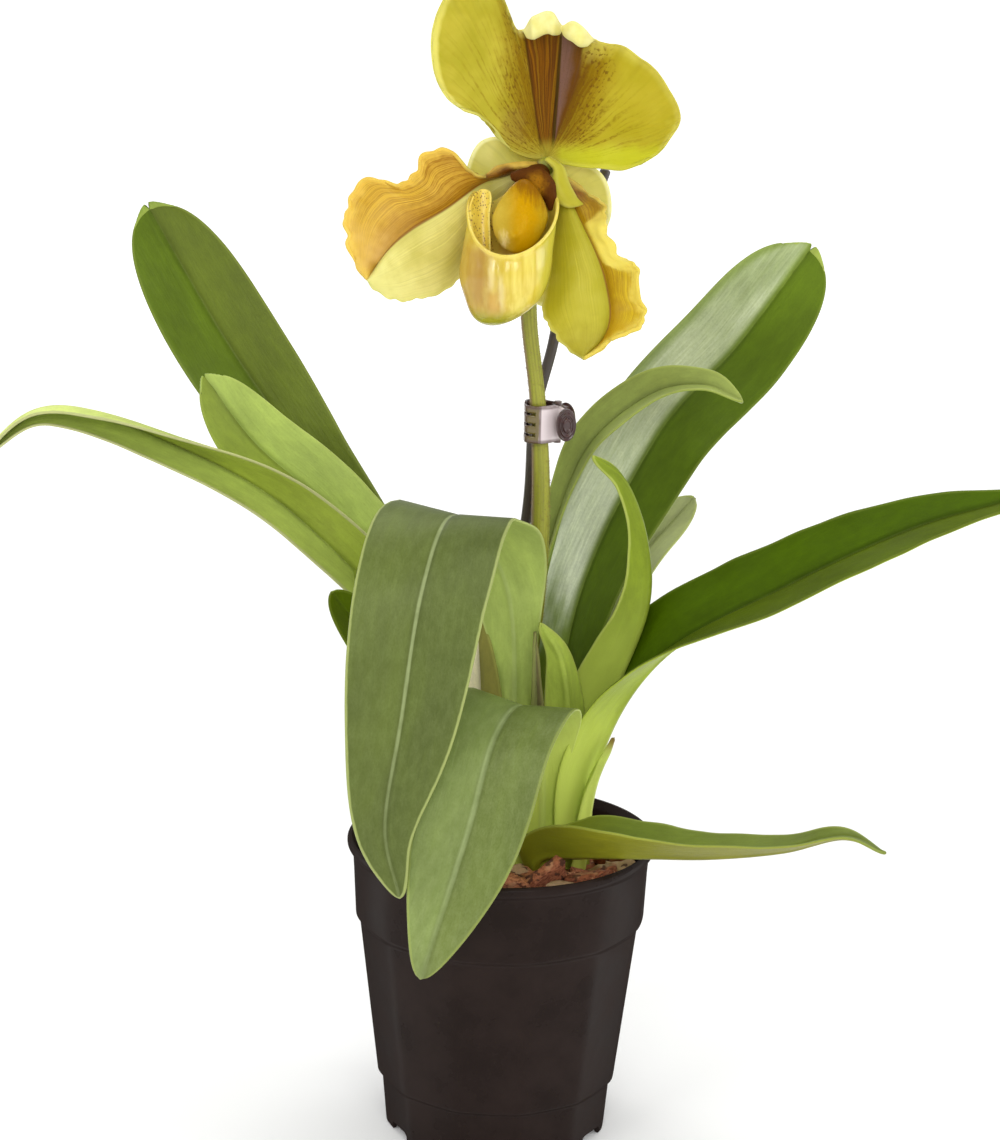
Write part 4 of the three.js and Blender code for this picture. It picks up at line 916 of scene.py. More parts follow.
def petal_look(name, upper, upper_dark, upper_tip, lower, lower_pale, lower_tip, rim, fold_from, fold_to):
    look = Look(name)
    _, _, edge = look.mark("strip")
    s, t, _ = look.mark("share")
    side = look.mark("side")[0]
    place = look.at(*look.mark("own"))
    broad = look.noise(place, 0.07, 3) - 0.5
    cloud = look.noise(place, 0.3, 3) - 0.5
    wide = s + (look.noise(place, 0.1, 2) - 0.5) * 0.05
    veins = look.noise(look.at(wide * 46, t * 1.2), 1.0, 2, 0.5)
    dots = look.noise(look.at(wide * 44, t * 40), 1.0, 2, 0.5)
    deep = look.larger(look.step(s + cloud * 0.5, 0.6, 0.08), look.step(t + cloud * 0.3, 0.5, 0.2))
    top = look.mix(deep * 0.62, upper, upper_dark)
    lines = look.step(veins, 0.44, 0.58) * look.step(t, 0.95, 0.15, 0.3, 1.0)
    top = look.mix(lines * look.step(dots, 0.35, 0.6, 0.5, 1.0), top, upper_dark)
    hair = look.noise(look.at(wide * 120, t * 2.5), 1.0, 2, 0.5)
    top = look.mix(look.step(hair, 0.5, 0.62, 0.0, 0.42) * look.step(t, 0.95, 0.5, 0.35, 1.0), top,
                   shade(upper_dark, 0.75))
    # Paler towards the tip in patches; on the left petal this pinkish pale tone partly paints in the glossy
    # highlights of its outer end
    pale = look.step(t, 0.55, 0.95) * look.step(broad, -0.2, 0.15)
    top = look.mix(pale * 0.6, top, upper_tip)
    low = look.mix(look.step(broad, -0.2, 0.2), lower, lower_pale)
    low = look.mix(look.step(veins, 0.48, 0.66, 0.0, 0.22), low, shade(lower, 0.82))
    low = look.mix(look.step(veins, 0.42, 0.3, 0.0, 0.25), low, shade(lower_pale, 1.12, 14))
    low = look.mix(look.step(t + cloud * 0.2, 0.7, 0.95, 0.0, 0.6), low, lower_tip)
    low = look.mix(look.step(s, -0.25, 0.0, 0.0, 0.2), low, (150, 150, 40))
    colour = look.mix(look.step(s, -0.03, 0.02), low, top)
    base = look.step(t + cloud * 0.1, 0.3, 0.1) * look.step(s, -0.04, 0.06, 0.0, 1.0)
    colour = look.mix(base, colour, look.mix(look.step(dots, 0.4, 0.6), (120, 66, 8), (80, 40, 8)))
    middle = look.step(abs(s), 0.045, 0.012, 0.0, 0.8)
    colour = look.mix(middle * look.step(t, 1.0, 0.85), colour, (128, 78, 14))
    folded = look.step(t, fold_from - 0.04, fold_from + 0.03) * look.step(t, fold_to + 0.05, fold_to - 0.03)
    width = folded * 6.0 + (2.2 + cloud * 5.0) * look.step(t, 0.15, 0.4, 0.3, 1.0)
    wave = look.step(edge - width, 2.0, -2.2, 0.0, 0.7)
    wave = look.larger(wave, folded * look.step(edge - width, 0.8, -0.5, 0.0, 0.95))
    colour = look.mix(wave * look.step(s, 0.0, 0.3), colour, rim)
    colour = look.mix(look.step(edge, 1.4, 0.2, 0.0, 0.35) * look.step(s, 0.0, -0.3), colour, (226, 220, 124))
    colour = look.mix(look.step(side, 0.2, -0.7, 0.0, 0.8), colour, (200, 184, 84))
    normal = look.bump(veins, 0.4, 0.35)
    normal = look.bump(look.noise(place, 1.3, 3, 0.6), 0.3, 0.12, normal)
    return look.finish(colour, look.step(veins, 0.3, 0.7, 0.34, 0.48), normal, Subsurface_Weight=0.2,
                       **GLOW, Specular_IOR_Level=0.35,
                       Specular_Tint=(1.0, 0.95, 0.55, 1.0))


def petal(name, shape, material, flip, fold=None):
    rows, half_columns = 150, 24
    t = np.arange(rows) / rows
    spine, length = even(shape["middle"], t)
    upper, _ = even(shape["upper"], t)
    lower, _ = even(shape["lower"], t)
    s = np.arange(-half_columns, half_columns + 1) / half_columns
    a = np.abs(s)[None, :, None]
    edge_line = np.where(s[None, :, None] < 0, lower[:, None], upper[:, None])
    place = spine[:, None] * (1 - a) + edge_line * a
    place[..., 1] -= shape["bulge"] * 4 * (a * (1 - a))[..., 0]
    reach = np.linalg.norm(edge_line - spine[:, None], axis=-1)
    to_edge = reach * (1 - a[..., 0])
    fade = (smooth(t, 0.02, 0.15) * (1 - smooth(t, 0.93, 1)))[:, None]
    phase = t[:, None] * length
    frill = 0.9 * np.sin(phase / 1.75 + 1.9 * np.sin(phase / 6.5)) + 0.35 * np.sin(phase / 0.85)
    upper_half = np.clip(s, 0, 1)[None]
    lift = frill * upper_half**5 * fade - 1.5 * np.exp(-to_edge / 1.3) * upper_half**2 * fade
    lift += 0.4 * np.sin(phase / 2.4) * np.clip(-s, 0, 1)[None] ** 6 * fade
    lift += 0.9 * np.exp(-((s[None] * reach / 1.1) ** 2)) * fade  # the midline sinks into a crease
    start, end = shape["fold"]
    broad = smooth(t, start - 0.04, start + 0.04) * (1 - smooth(t, end - 0.04, end + 0.05))
    lift -= 2.4 * (broad[:, None] * np.exp(-((to_edge - 1.6) / 1.8) ** 2)) * upper_half
    place[..., 1] += lift
    outward = unit(edge_line - spine[:, None])
    ripple = 0.55 * np.sin(phase / 1.5 + 2.5
                           * np.sin(phase / 5.0)) + 0.35 * np.sin(phase / 0.7 + 1.7 * np.sin(phase / 3.1))
    place += outward * (ripple * np.where(s > 0, 1.0, 0.55) * np.abs(s) ** 8 * fade)[..., None]
    points = np.concatenate([place.reshape(-1, 3), even(shape["middle"], [1.0])[0]])
    columns = 2 * half_columns + 1
    faces = grid_faces(rows, columns)
    first = (rows - 1) * columns
    faces += [[first + k, first + k + 1, len(points) - 1] for k in range(columns - 1)]
    edge = np.append(to_edge.ravel(), 0)
    ss = np.append(np.broadcast_to(s, to_edge.shape).ravel(), 0)
    tt = np.append(np.broadcast_to(t[:, None], to_edge.shape).ravel(), 1)
    thick = 0.42 + 0.3 * np.exp(-edge / 0.9) * np.clip(ss + 0.4, 0, 1)
    marks = {"strip": np.stack([ss * 10, tt * length, edge], -1), "share": np.stack([ss, tt, tt * 0], -1),
             "own": points}
    parts = [body_of_sheet(points, faces, thick, thick, marks, flip=flip)]
    if fold:
        parts.append(rolled_strip(*fold))
    verts, faces, marks = join(parts)
    make(name + "_skin", placed(verts), faces, marks, material, replaces=[name])


# Where the right petal's base margin rolls forward beside the throat
BASE_FOLD_LEFT = [[-0.6, -3.5, -0.6], [2.3, -3.6, -4.2], [1.5, -4.2, -8.1], [1.3, -4.8, -10.8],
                  [3.2, -5.2, -14.4],
                  [7.0, -5.4, -17.0], [12.6, -4.2, -16.2]]
BASE_FOLD_RIGHT = [[0.6, -2.2, 0.2], [5.0, -2.0, -2.6], [7.0, -2.2, -6.2], [8.4, -2.6, -9.5],
                   [9.6, -3.0, -12],
                   [10.9, -3.2, -14.2], [12.9, -3.4, -15.8]]


def rolled_strip(left, right):
    rows, columns = 60, 17
    a, length = even(left, np.linspace(0, 1, rows))
    b, _ = even(right, np.linspace(0, 1, rows))
    s = np.linspace(0, 1, columns)
    sheet = a[:, None] * (1 - s)[None, :, None] + b[:, None] * s[None, :, None]
    swell = np.sin(np.linspace(0.12, 1, rows) * math.pi * 0.93)
    sheet[..., 1] -= (2.6 * swell)[:, None] * np.sqrt(np.clip(1 - (2 * s - 1) ** 2, 0, 1))[None]
    flat = sheet.reshape(-1, 3)
    t = np.repeat(np.linspace(0, 1, rows), columns)
    from_edge = np.tile(np.minimum(s, 1 - s), rows) * 6
    marks = {"strip": np.stack([t * 0 - 5, t * length, from_edge], -1),
             "share": np.stack([t * 0 - 0.5, 0.7 + t * 0.1, t * 0], -1), "own": flat}
    sheet, faces, marks = body_of_sheet(flat, grid_faces(rows, columns), 0.42, 0.42, marks, flip=True)
    marks["side"] = marks["side"] * 0 + [1, 0, 0]
    return sheet, faces, marks


# The left petal's pale pinkish upper_tip partly paints in the glossy highlights at its outer end
petal("left_petal", LEFT_PETAL, petal_look(
    "left_petal", upper=(206, 166, 52), upper_dark=(148, 98, 10), upper_tip=(230, 190, 120),
    lower=(192, 182, 88),
    lower_pale=(220, 210, 126), lower_tip=(238, 232, 150), rim=(232, 196, 84), fold_from=0.02, fold_to=0.06),
    False)
petal("right_petal", RIGHT_PETAL, petal_look(
    "right_petal", upper=(198, 168, 24), upper_dark=(146, 106, 8), upper_tip=(180, 134, 20),
    lower=(172, 164, 34),
    lower_pale=(184, 176, 60), lower_tip=(140, 128, 16), rim=(226, 206, 92), fold_from=0.29, fold_to=0.54),
    True,
      fold=(BASE_FOLD_LEFT, BASE_FOLD_RIGHT))


def green_petal_look(name, pale, green):
    look = Look(name)
    place = look.at(*look.mark("own"))
    edge = look.mark("edge")[0]
    broad = look.noise(place, 0.06, 3)
    veins = look.noise(look.at(look.mark("share")[0] * 60, edge * 0.06), 1.0, 2, 0.5)
    colour = look.mix(look.step(broad, 0.3, 0.7), pale, green)
    colour = look.mix(look.step(veins, 0.5, 0.7, 0.0, 0.25), colour, shade(green, 0.8))
    colour = look.mix(look.step(edge, 1.4, 0.3, 0.0, 0.6), colour, (240, 236, 176))
    normal = look.bump(veins, 0.4, 0.4)
    normal = look.bump(look.noise(place, 1.2, 3, 0.6), 0.3, 0.12, normal)
    return look.finish(colour, look.step(broad, 0.3, 0.7, 0.36, 0.48), normal, Subsurface_Weight=0.25,
                       **GLOW, Coat_Weight=0.08, Coat_Roughness=0.3)


SYNSEPAL_CENTRE = np.array([-1, 9, -16.0])
SYNSEPAL_MARGIN = [[0, 7, -1], [-9, 8, 4], [-17, 9, 7], [-24, 9, 5], [-28, 9, -3], [-28, 9, -13],
                   [-23, 9, -26],
                   [-15, 9, -40], [-6, 8, -50], [1, 8, -52], [7, 8, -46], [13, 8, -37], [19, 7, -28],
                   [22.5, 6, -20], [21.5, 6, -10], [17, 6, -4], [9, 6.5, -2]]


def synsepal():
    columns, rows = 160, 24
    u = np.arange(columns) / columns
    loop, _ = even(SYNSEPAL_MARGIN, u, closed=True)
    points, share, edge = [], [], []
    for i in range(1, rows + 1):
        v = i / rows
        ring = SYNSEPAL_CENTRE + (loop - SYNSEPAL_CENTRE) * v
        ring[:, 1] += 1.5 * (1 - v * v) + 0.5 * np.sin(u * 2 * math.pi * 9) * v**4
        points.append(ring)
        share.append(np.stack([u, np.full(columns, v), u * 0], -1))
        edge.append((1 - v) * np.linalg.norm(loop - SYNSEPAL_CENTRE, axis=1))
    points = np.concatenate(points + [SYNSEPAL_CENTRE[None] + [[0, 1.5, 0]]])
    share = np.concatenate(share + [[[0, 0, 0]]])
    edge = np.append(np.concatenate(edge), 20)
    faces = grid_faces(rows, columns, closed=True)
    faces += [[len(points) - 1, (j + 1) % columns, j] for j in range(columns)]
    marks = {"own": points, "share": share, "edge": in_x(edge)}
    verts, faces, marks = body_of_sheet(points, faces, 0.45, 0.45, marks, flip=True)
    make("synsepal_skin", placed(verts), faces, marks,
         green_petal_look("synsepal", (212, 204, 112), (186, 182, 78)),
         replaces=["synsepal"])


synsepal()

POUCH_TOE, POUCH_TOP = -57.5, -6
POUCH_HALF_WIDTH = [15.4, 15.6, 15.8, 15.4, 15.2, 14.8, 14]
POUCH_HALF_DEPTH = [12.6, 13, 13, 12.6, 12, 11.5, 11]
POUCH_CENTRE_X = [-19.2, -15.8, -14.9, -13.9, -12.6, -12, -12]
POUCH_CENTRE_Y = [-17, -16.5, -16, -14.5, -12.5, -10, -8]
POUCH_ROUNDING = 0.42


def pouch_point(angle, z, grow=0.0):
    t = np.clip((z - POUCH_TOE) / (POUCH_TOP - POUCH_TOE), 0, 1)
    full = np.sqrt(np.clip(1 - (1 - np.minimum(t / POUCH_ROUNDING, 1)) ** 2, 0, 1))
    x = along(POUCH_CENTRE_X, t) + full * (along(POUCH_HALF_WIDTH, t) + grow) * np.sin(angle)
    y = along(POUCH_CENTRE_Y, t) - full * (along(POUCH_HALF_DEPTH, t) + grow) * np.cos(angle)
    return np.stack([x, y, z], -1)


def pouch_rim(angle):
    front = np.cos(angle)
    return np.where(front > 0, -16 - 17.5 * front, -16 - 9 * front)


def pouch_look():
    look = Look("pouch")
    x, y, z = look.mark("own")
    edge = look.mark("edge")[0]
    side = look.mark("side")[0]
    place = look.at(x, y, z)
    broad = look.noise(place, 0.05, 3) - 0.5
    cloud = look.noise(place, 0.22, 3) - 0.5
    streak = look.noise(look.at(x * 0.5, y * 0.3, z * 0.05), 1.0, 3)
    colour = look.mix(look.step(streak, 0.3, 0.7), (228, 208, 96), (206, 180, 56))
    green = look.step(x + cloud * 4, -6, 0, 0.0, 0.8)
    colour = look.mix(green, colour, (190, 184, 60))
    dusk = look.step(x + cloud * 9, -14.5, -23) * look.step(z + cloud * 8, -22, -33)
    colour = look.mix(dusk * 0.62, colour, (160, 112, 34))
    tan = look.step(abs(x + (17.5 + cloud * 5)), 4.5, 1.5) * look.step(z, -38, -50)
    colour = look.mix(tan * 0.4, colour, (176, 132, 60))
    for at, half, low, high, tint, share in (
        (-23.6, 3.6, -50, -32, (160, 118, 50), 0.5),
        (-19.4, 1.6, -45, -34, (244, 228, 170), 0.4),
        (-16.0, 1.7, -52, -40, (244, 230, 170), 0.35),
        (-18.6, 2.8, -56, -46, (214, 164, 76), 0.4),
        (1.2, 1.6, -52, -36, (170, 150, 50), 0.5),
    ):  # upright stains, and two pale streaks that are painted highlights of the gloss
        run = x - at + cloud * 2.5
        stain_and_highlight = look.step(abs(run), half,
                          half * 0.1) * (look.step(z, low - 2, low + 3) * look.step(z, high + 2, high - 3))
        colour = look.mix(stain_and_highlight * share, colour, tint)
    toe = look.step(z + broad * 8, -51, -58)
    colour = look.mix(toe * 0.85, colour, (146, 152, 26))
    inner = look.mix(look.step(cloud, -0.2, 0.2), (230, 202, 84), (218, 186, 62))
    inner = look.mix(look.step(x, -6, -1, 0.0, 0.6), inner, (160, 152, 30))
    dots = look.value("TexVoronoi", {"Vector": place, "Scale": 0.95}, "Distance")
    spotted = look.step(dots, 0.36, 0.2) * look.step(x + cloud * 4, -17, -20.5)
    pale = look.step(abs(x + 18.6), 1.8, 0.8)
    inner = look.mix(pale * 0.6, inner, (222, 204, 84))
    inner = look.mix(spotted * 0.85, inner, (112, 62, 10))
    colour = look.mix(look.step(side, 0.1, -0.5), colour, inner)
    colour = look.mix(look.step(edge, 1.1, 0.3, 0.0, 0.6), colour, (230, 208, 92))
    normal = look.bump(streak, 0.35, 0.5)
    normal = look.bump(look.noise(place, 0.9, 3, 0.6), 0.25, 0.12, normal)
    return look.finish(colour, look.step(side, 0.0, -0.6, 0.22, 0.4), normal, Subsurface_Weight=0.2,
                       **GLOW, Coat_Weight=0.2, Coat_Roughness=0.12)


def pouch():
    columns, rows = 128, 64
    angle = 2 * math.pi * np.arange(columns) / columns
    rim = pouch_rim(angle)
    points, edge = [], []
    for i in range(1, rows + 1):
        z = POUCH_TOE + (rim - POUCH_TOE) * (i / rows) ** 1.7
        down = rim - z
        flare = 0.7 * np.exp(-down / 1.3)
        ring = pouch_point(angle, z, flare)
        # Soft upright folds down the front
        fold = 0.75 * np.exp(-(((ring[:, 0]
                                 + 22.2) / 1.7) ** 2)) - 0.5 * np.exp(-(((ring[:, 0] + 19.2) / 1.5) ** 2))
        fold += 0.8 * np.exp(-(((ring[:, 0]
                                 + 16.9) / 1.2) ** 2)) - 0.4 * np.exp(-(((ring[:, 0] + 14.4) / 1.6) ** 2))
        ring[:, 1] += fold * np.clip(np.cos(angle), 0, 1) * smooth(z, -57, -50) * (1 - smooth(z, -37, -32))
        points.append(ring)
        edge.append(down)
    points = np.concatenate(points + [[[POUCH_CENTRE_X[0], POUCH_CENTRE_Y[0], POUCH_TOE]]])
    edge = np.append(np.concatenate(edge), 30)
    faces = grid_faces(rows, columns, closed=True)
    faces += [[len(points) - 1, (j + 1) % columns, j] for j in range(columns)]
    thick = 0.42 + 0.2 * np.exp(-((edge / 0.9) ** 2))
    marks = {"own": points, "edge": in_x(edge)}
    body = body_of_sheet(points, faces, thick, thick, marks, rings=5)
    # The left side lobe turns in behind the rim
    outer = [[-26.0, -12.0, -13.5], [-27.0, -13, -17], [-26.6, -15, -22], [-25.8, -16, -29],
             [-24.8, -16, -36]]
    inner = [[-20.2, -9.5, -12.0], [-19.8, -10, -14.5], [-20.4, -11.5, -20], [-20.2, -13, -28],
             [-20, -14, -36]]
    t = np.linspace(0, 1, 46)
    s = np.linspace(0, 1, 20)[None, :, None]
    a, _ = even(outer, t)
    b, _ = even(inner, t)
    sheet = a[:, None] * (1 - s) + b[:, None] * s
    sheet[..., 1] += 2.6 * (4 * s * (1 - s))[..., 0]
    sheet[..., 2] += 1.6 * (4 * s * (1 - s))[..., 0] * ((1 - t) ** 8)[:, None]
    ear_edge = np.broadcast_to((1 - s[..., 0]) * 8, sheet.shape[:2]).ravel()
    marks = {"own": sheet.reshape(-1, 3), "edge": in_x(ear_edge)}
    ear = body_of_sheet(sheet.reshape(-1, 3), grid_faces(46, 20), 0.4, 0.4, marks)
    ear[2]["side"][:, 0] = -1  # all of it shows the spotted inner face
    verts, faces, marks = join([body, ear])
    make("pouch_skin", placed(verts), faces, marks, pouch_look(), replaces=["pouch"])


pouch()


def column_look():
    look = Look("column")
    x, y, z = look.mark("own")
    kind = look.mark("share")[0]
    place = look.at(x, y, z)
    cloud = look.noise(place, 0.3, 3) - 0.5
    speck = look.noise(place, 1.3, 2)
    glow = look.step(abs(x + 8.2) + cloud * 5, 1.0, 8.0)
    colour = look.mix(glow, (190, 142, 0), (172, 138, 20))
    colour = look.mix(look.step(x + cloud * 6, -10, -18) * 0.6, colour, (204, 178, 70))
    streaks = look.noise(look.at(x * 0.9, 0.0, z * 0.16), 1.0, 3, 0.6)
    top = look.step(z + x * 0.55 + (streaks - 0.5) * 12, -21, -13, 0.0, 0.9)
    colour = look.mix(top, colour, (128, 80, 8))
    # Pale painted highlights where the lower left of the staminode is glossy
    painted_highlight = look.step(abs(x + cloud * 4 + 15.4), 2.2, 0.2) * look.step(abs(z + 28), 4.5, 1.0)
    colour = look.mix(painted_highlight * look.step(streaks, 0.35, 0.65, 0.15, 0.75), colour, (240, 222, 160))
    ochre = look.step(abs(x + cloud * 5 + 3.6), 4.5, 1.0) * look.step(abs(z + cloud * 4 + 9), 5.5, 1.5)
    neck = look.mix(ochre * 0.9, (82, 38, 8), (148, 98, 12))
    neck = look.mix(look.step(speck, 0.55, 0.7, 0.0, 0.5), neck, (56, 26, 10))
    colour = look.mix(kind, colour, neck)
    normal = look.bump(look.noise(place, 0.8, 3, 0.6), 0.5, 0.35)
    rough = look.step(cloud, -0.2, 0.2, 0.2, 0.3) + kind * 0.4
    return look.finish(colour, rough, normal, Subsurface_Weight=0.12,
                       Subsurface_Radius=(0.003, 0.0015, 0.0005),
                       Subsurface_Scale=1.0, Specular_IOR_Level=0.22, Specular_Tint=(1.0, 0.85, 0.2, 1.0))


def column():
    rows, columns = 56, 84
    v = np.linspace(0.03, math.pi - 0.03, rows)[:, None]
    u = (2 * math.pi * np.arange(columns) / columns)[None]
    sx, sy, sz = np.sin(v) * np.sin(u), -np.sin(v) * np.cos(u), np.cos(v) * np.ones_like(u)
    egg = 1 - 0.3 * np.clip(sz, 0, 1) - 0.06 * sz**2
    x, y, z = 9.7 * sx * egg, 2.6 * sy, 13.2 * sz
    front = np.clip(-sy, 0, 1)
    y = y - 0.7 * np.exp(-((x / 4.5) ** 2)) * front
    for at_x, at_z, wide, tall, lift in ((-6.2, -8.6, 1.3, 2.4, 1.5), (-2.0, -8.0, 1.9, 1.8, 1.3),
                                         (2.4, -4.0, 2.2, 5.0, 0.5)):
        y = y - lift * np.exp(-(((x - at_x) / wide) ** 2 + ((z - at_z) / tall) ** 2)) * front
    tilt = math.radians(-14)
    yy, zz = y * math.cos(tilt) - z * math.sin(tilt), y * math.sin(tilt) + z * math.cos(tilt)
    own = np.stack([x - 9.5, yy - 13.5, zz - 20.0], -1).reshape(-1, 3)
    own[:, 0] += 0.10 * (own[:, 2] + 20)  # leans to the right at the top
    faces = grid_faces(rows, columns, closed=True)
    faces.append(list(range(columns)))
    faces.append([(rows - 1) * columns + k for k in range(columns)][::-1])
    faces = [f[::-1] for f in faces]
    parts = [(own, faces, {"own": own, "share": own * 0})]
    # The hood behind it, flatter than it is wide
    for path, radii in (
        ([[-12, -6.5, -6.4], [-8.5, -7.6, -6.6], [-4, -8, -7.6], [-1.0, -7.8, -10], [0.8, -7.4, -13.5],
          [1.3, -7.0, -17.5]],
         [1.6, 3.2, 4.6, 4.0, 2.6, 1.2]),
        ([[-5.5, -9.5, -12], [-5, -6.5, -8], [-3, 1, -6]], [4.4, 4.8, 4.2]),
    ):
        verts, faces, _, _ = tube(path, radii, 48, 60)
        centre = np.mean(verts, axis=0)
        verts[:, 1] = centre[1] + (verts[:, 1] - centre[1]) * 0.7
        verts = verts + 0.15 * wobble(verts, 3.2, 2.0)[:, None] * unit(verts - centre)
        parts.append((verts, faces, {"own": verts, "share": verts * 0 + [1, 0, 0]}))
    verts, faces, marks = join(parts)
    make("column_skin", placed(verts), faces, marks, column_look(), replaces=["column"])


column()

# Pot
POT_SIDES, FLAT_TURN = 12, 11.5
POT_OUTSIDE = [[0, 0], [16, 0], [17.5, 4], [41, 4], [42.5, 0], [44.2, 0], [46.0, 20.4], [47.8, 21.8],
               [55.4, 85.4],
               [56.8, 87.2], [58.0, 112.8], [59.4, 114.2], [60, 115.4], [60, 117], [59.2, 118]]
HOLES, HOLE_RADIUS, HOLE_CIRCLE = 6, 0.004, 0.029  # metres, as the cutters are
ARCH_CIRCLE, ARCH_SIZE, ARCH_CORNER = 0.0426, (0.010, 0.013, 0.007, 1), 0.0022
POT_INSIDE = [[58.2, 118], [56.5, 115], [54.5, 87], [52.8, 85], [43.3, 6], [0, 6]]


def rounded(profile, radius, steps=4):
    """The profile with its corners rounded."""
    p = np.array(profile, float)
    out = [p[0]]
    for a, b, c in zip(p, p[1:], p[2:]):
        reach = min(radius, 0.42 * np.linalg.norm(b - a), 0.42 * np.linalg.norm(c - b))
        start, end = b + unit(a - b) * reach, b + unit(c - b) * reach
        for k in range(steps + 1):
            t = k / steps
            out.append((1 - t) ** 2 * start + 2 * t * (1 - t) * b + t * t * end)
    out.append(p[-1])
    return np.array(out)


def pot_look():
    look = Look("pot")
    place = look.place()
    scuff = look.noise(place, 0.05, 4, 0.6)
    grain = look.noise(place, 1.6, 3, 0.6)
    colour = look.mix(look.step(scuff, 0.3, 0.7), (33, 24, 21), (41, 31, 28))
    normal = look.bump(grain, 0.25, 0.06)
    normal = look.bump(look.noise(place, 0.07, 2), 0.4, 0.5, normal)
    grazing = look.value("LayerWeight", {"Blend": 0.5}, "Facing")
    rough = look.step(scuff, 0.3, 0.7, 0.24, 0.34) + look.step(grazing, 0.35, 0.85, 0.0, 0.66)
    return look.finish(colour, rough, normal, IOR=1.17)


def pot():
    outside = rounded(POT_OUTSIDE, 1.2)
    inside = rounded(POT_INSIDE, 1.2)
    profile = np.concatenate([outside, inside])
    pieces = [profile[:1]]
    for a, b in zip(profile, profile[1:]):  # long walls get more rings
        n = max(1, int(np.linalg.norm(b - a) / 5))
        pieces.append(a + (b - a) * (np.arange(1, n + 1) / n)[:, None])
    profile = np.concatenate(pieces)
    columns = 288
    turn = 2 * math.pi * np.arange(columns) / columns
    step = 2 * math.pi / POT_SIDES
    inward = np.zeros(columns)
    for shift in np.linspace(-1, 1, 9):  # flats with soft corners
        from_corner = np.mod(turn + math.radians(2.6) * shift - math.radians(FLAT_TURN), step)
        inward += (1 - math.cos(step / 2) / np.cos(from_corner - step / 2)) / 9
    rings = []
    core = [i for i, (r, z) in enumerate(profile) if r > 1e-6]
    for i in core:
        r, z = profile[i]
        band = smooth(z, 84, 88)  # the flats are shallower above the step and gone at the rim
        depth = 0.6 * (1 - band) + 0.25 * band * (1 - smooth(z, 110, 114.5))
        rr = r * (1 - depth * inward)
        rings.append(np.stack([rr * np.sin(turn), -rr * np.cos(turn), np.full(columns, z)], -1))
    verts = np.concatenate(rings + [[[0, 0, profile[0][1]]], [[0, 0, profile[-1][1]]]])
    n = len(rings)
    faces = grid_faces(n, columns, closed=True)
    faces += [[len(verts) - 2, (j + 1) % columns, j] for j in range(columns)]
    top = (n - 1) * columns
    faces += [[len(verts) - 1, top + j, top + (j + 1) % columns] for j in range(columns)]
    piece = make("pot_shell", verts, faces, {}, pot_look(), replaces=["pot"])
    cutters = bmesh.new()
    for i in range(HOLES):
        a = i * 2 * math.pi / HOLES
        bmesh.ops.create_cone(
            cutters, cap_ends=True, segments=32, radius1=HOLE_RADIUS, radius2=HOLE_RADIUS, depth=0.008,
            matrix=Matrix.Translation((HOLE_CIRCLE * math.cos(a), HOLE_CIRCLE * math.sin(a), 0.005)))
        b = a + math.pi / HOLES
        place = Matrix.Rotation(b, 4,
                                "Z") @ Matrix.Translation((ARCH_CIRCLE, 0, 0)) @ Matrix.Diagonal(ARCH_SIZE)
        box = bmesh.ops.create_cube(cutters, size=1.0, matrix=place)
        back = Matrix.Rotation(-b, 3, "Z")
        edges = []  # the two upper edges that run outwards
        for e in {e for v in box["verts"] for e in v.link_edges}:
            one, two = e.verts[0].co, e.verts[1].co
            if abs(abs((back @ (one - two).normalized()).x) - 1) < 0.01 and min(one.z, two.z) > 0.003:
                edges.append(e)
        bmesh.ops.bevel(cutters, geom=edges, offset=ARCH_CORNER, segments=5, affect="EDGES", profile=0.5)
    mesh = bpy.data.meshes.new("cutters")
    cutters.to_mesh(mesh)
    cutters.free()
    tool = bpy.data.objects.new("cutters", mesh)
    bpy.context.scene.collection.objects.link(tool)
    cut = piece.modifiers.new("cut", "BOOLEAN")
    cut.operation, cut.object, cut.solver = "DIFFERENCE", tool, "EXACT"
    made = bpy.data.meshes.new_from_object(piece.evaluated_get(bpy.context.evaluated_depsgraph_get()))
    piece.modifiers.clear()
    piece.data = made
    made.name = "pot_shell"
    bpy.data.objects.remove(tool)
    made.polygons.foreach_set("use_smooth", [True] * len(made.polygons))
    made.set_sharp_from_angle(angle=math.radians(38))


pot()


# Bark: the bed, and loose chips on it
def bark_look():
    look = Look("bark")
    tone, layer, pale = look.mark("chip")
    place = look.mark("own")
    local = look.at(*place)
    grain = look.noise(look.at(place[0], place[1], place[2] * 3.2), 0.45, 4, 0.65)
    rough_grain = look.noise(local, 0.9, 4, 0.7)
    red = look.mix(look.step(tone, 0.0, 1.0), (158, 88, 60), (206, 136, 98))
    colour = look.mix(look.step(grain, 0.4, 0.7), red, (110, 62, 44))
    colour = look.mix(look.step(look.noise(look.at(place[0], place[1], place[2] * 1.6), 0.16, 3), 0.52, 0.62,
                                0.0, 0.8), colour, (196, 140, 104))
    colour = look.mix(look.step(layer + (grain - 0.5) * 0.9, 0.62, 0.9)
                      * look.step(pale, 0.45, 0.6, 0.0, 0.8), colour, (186, 158, 126))
    flake = look.noise(look.at(place[0], place[1], place[2] * 0.7), 0.28, 2)
    colour = look.mix(look.step(flake, 0.56, 0.62, 0.0, 0.85), colour, (70, 44, 34))
    colour = look.mix(look.step(rough_grain, 0.36, 0.24, 0.0, 0.85), colour, (44, 28, 22))
    normal = look.bump(grain, 0.9, 0.9)
    normal = look.bump(rough_grain, 0.8, 0.5, normal)
    return look.finish(colour, look.step(grain, 0.3, 0.7, 0.7, 0.95), normal, Specular_IOR_Level=0.25)


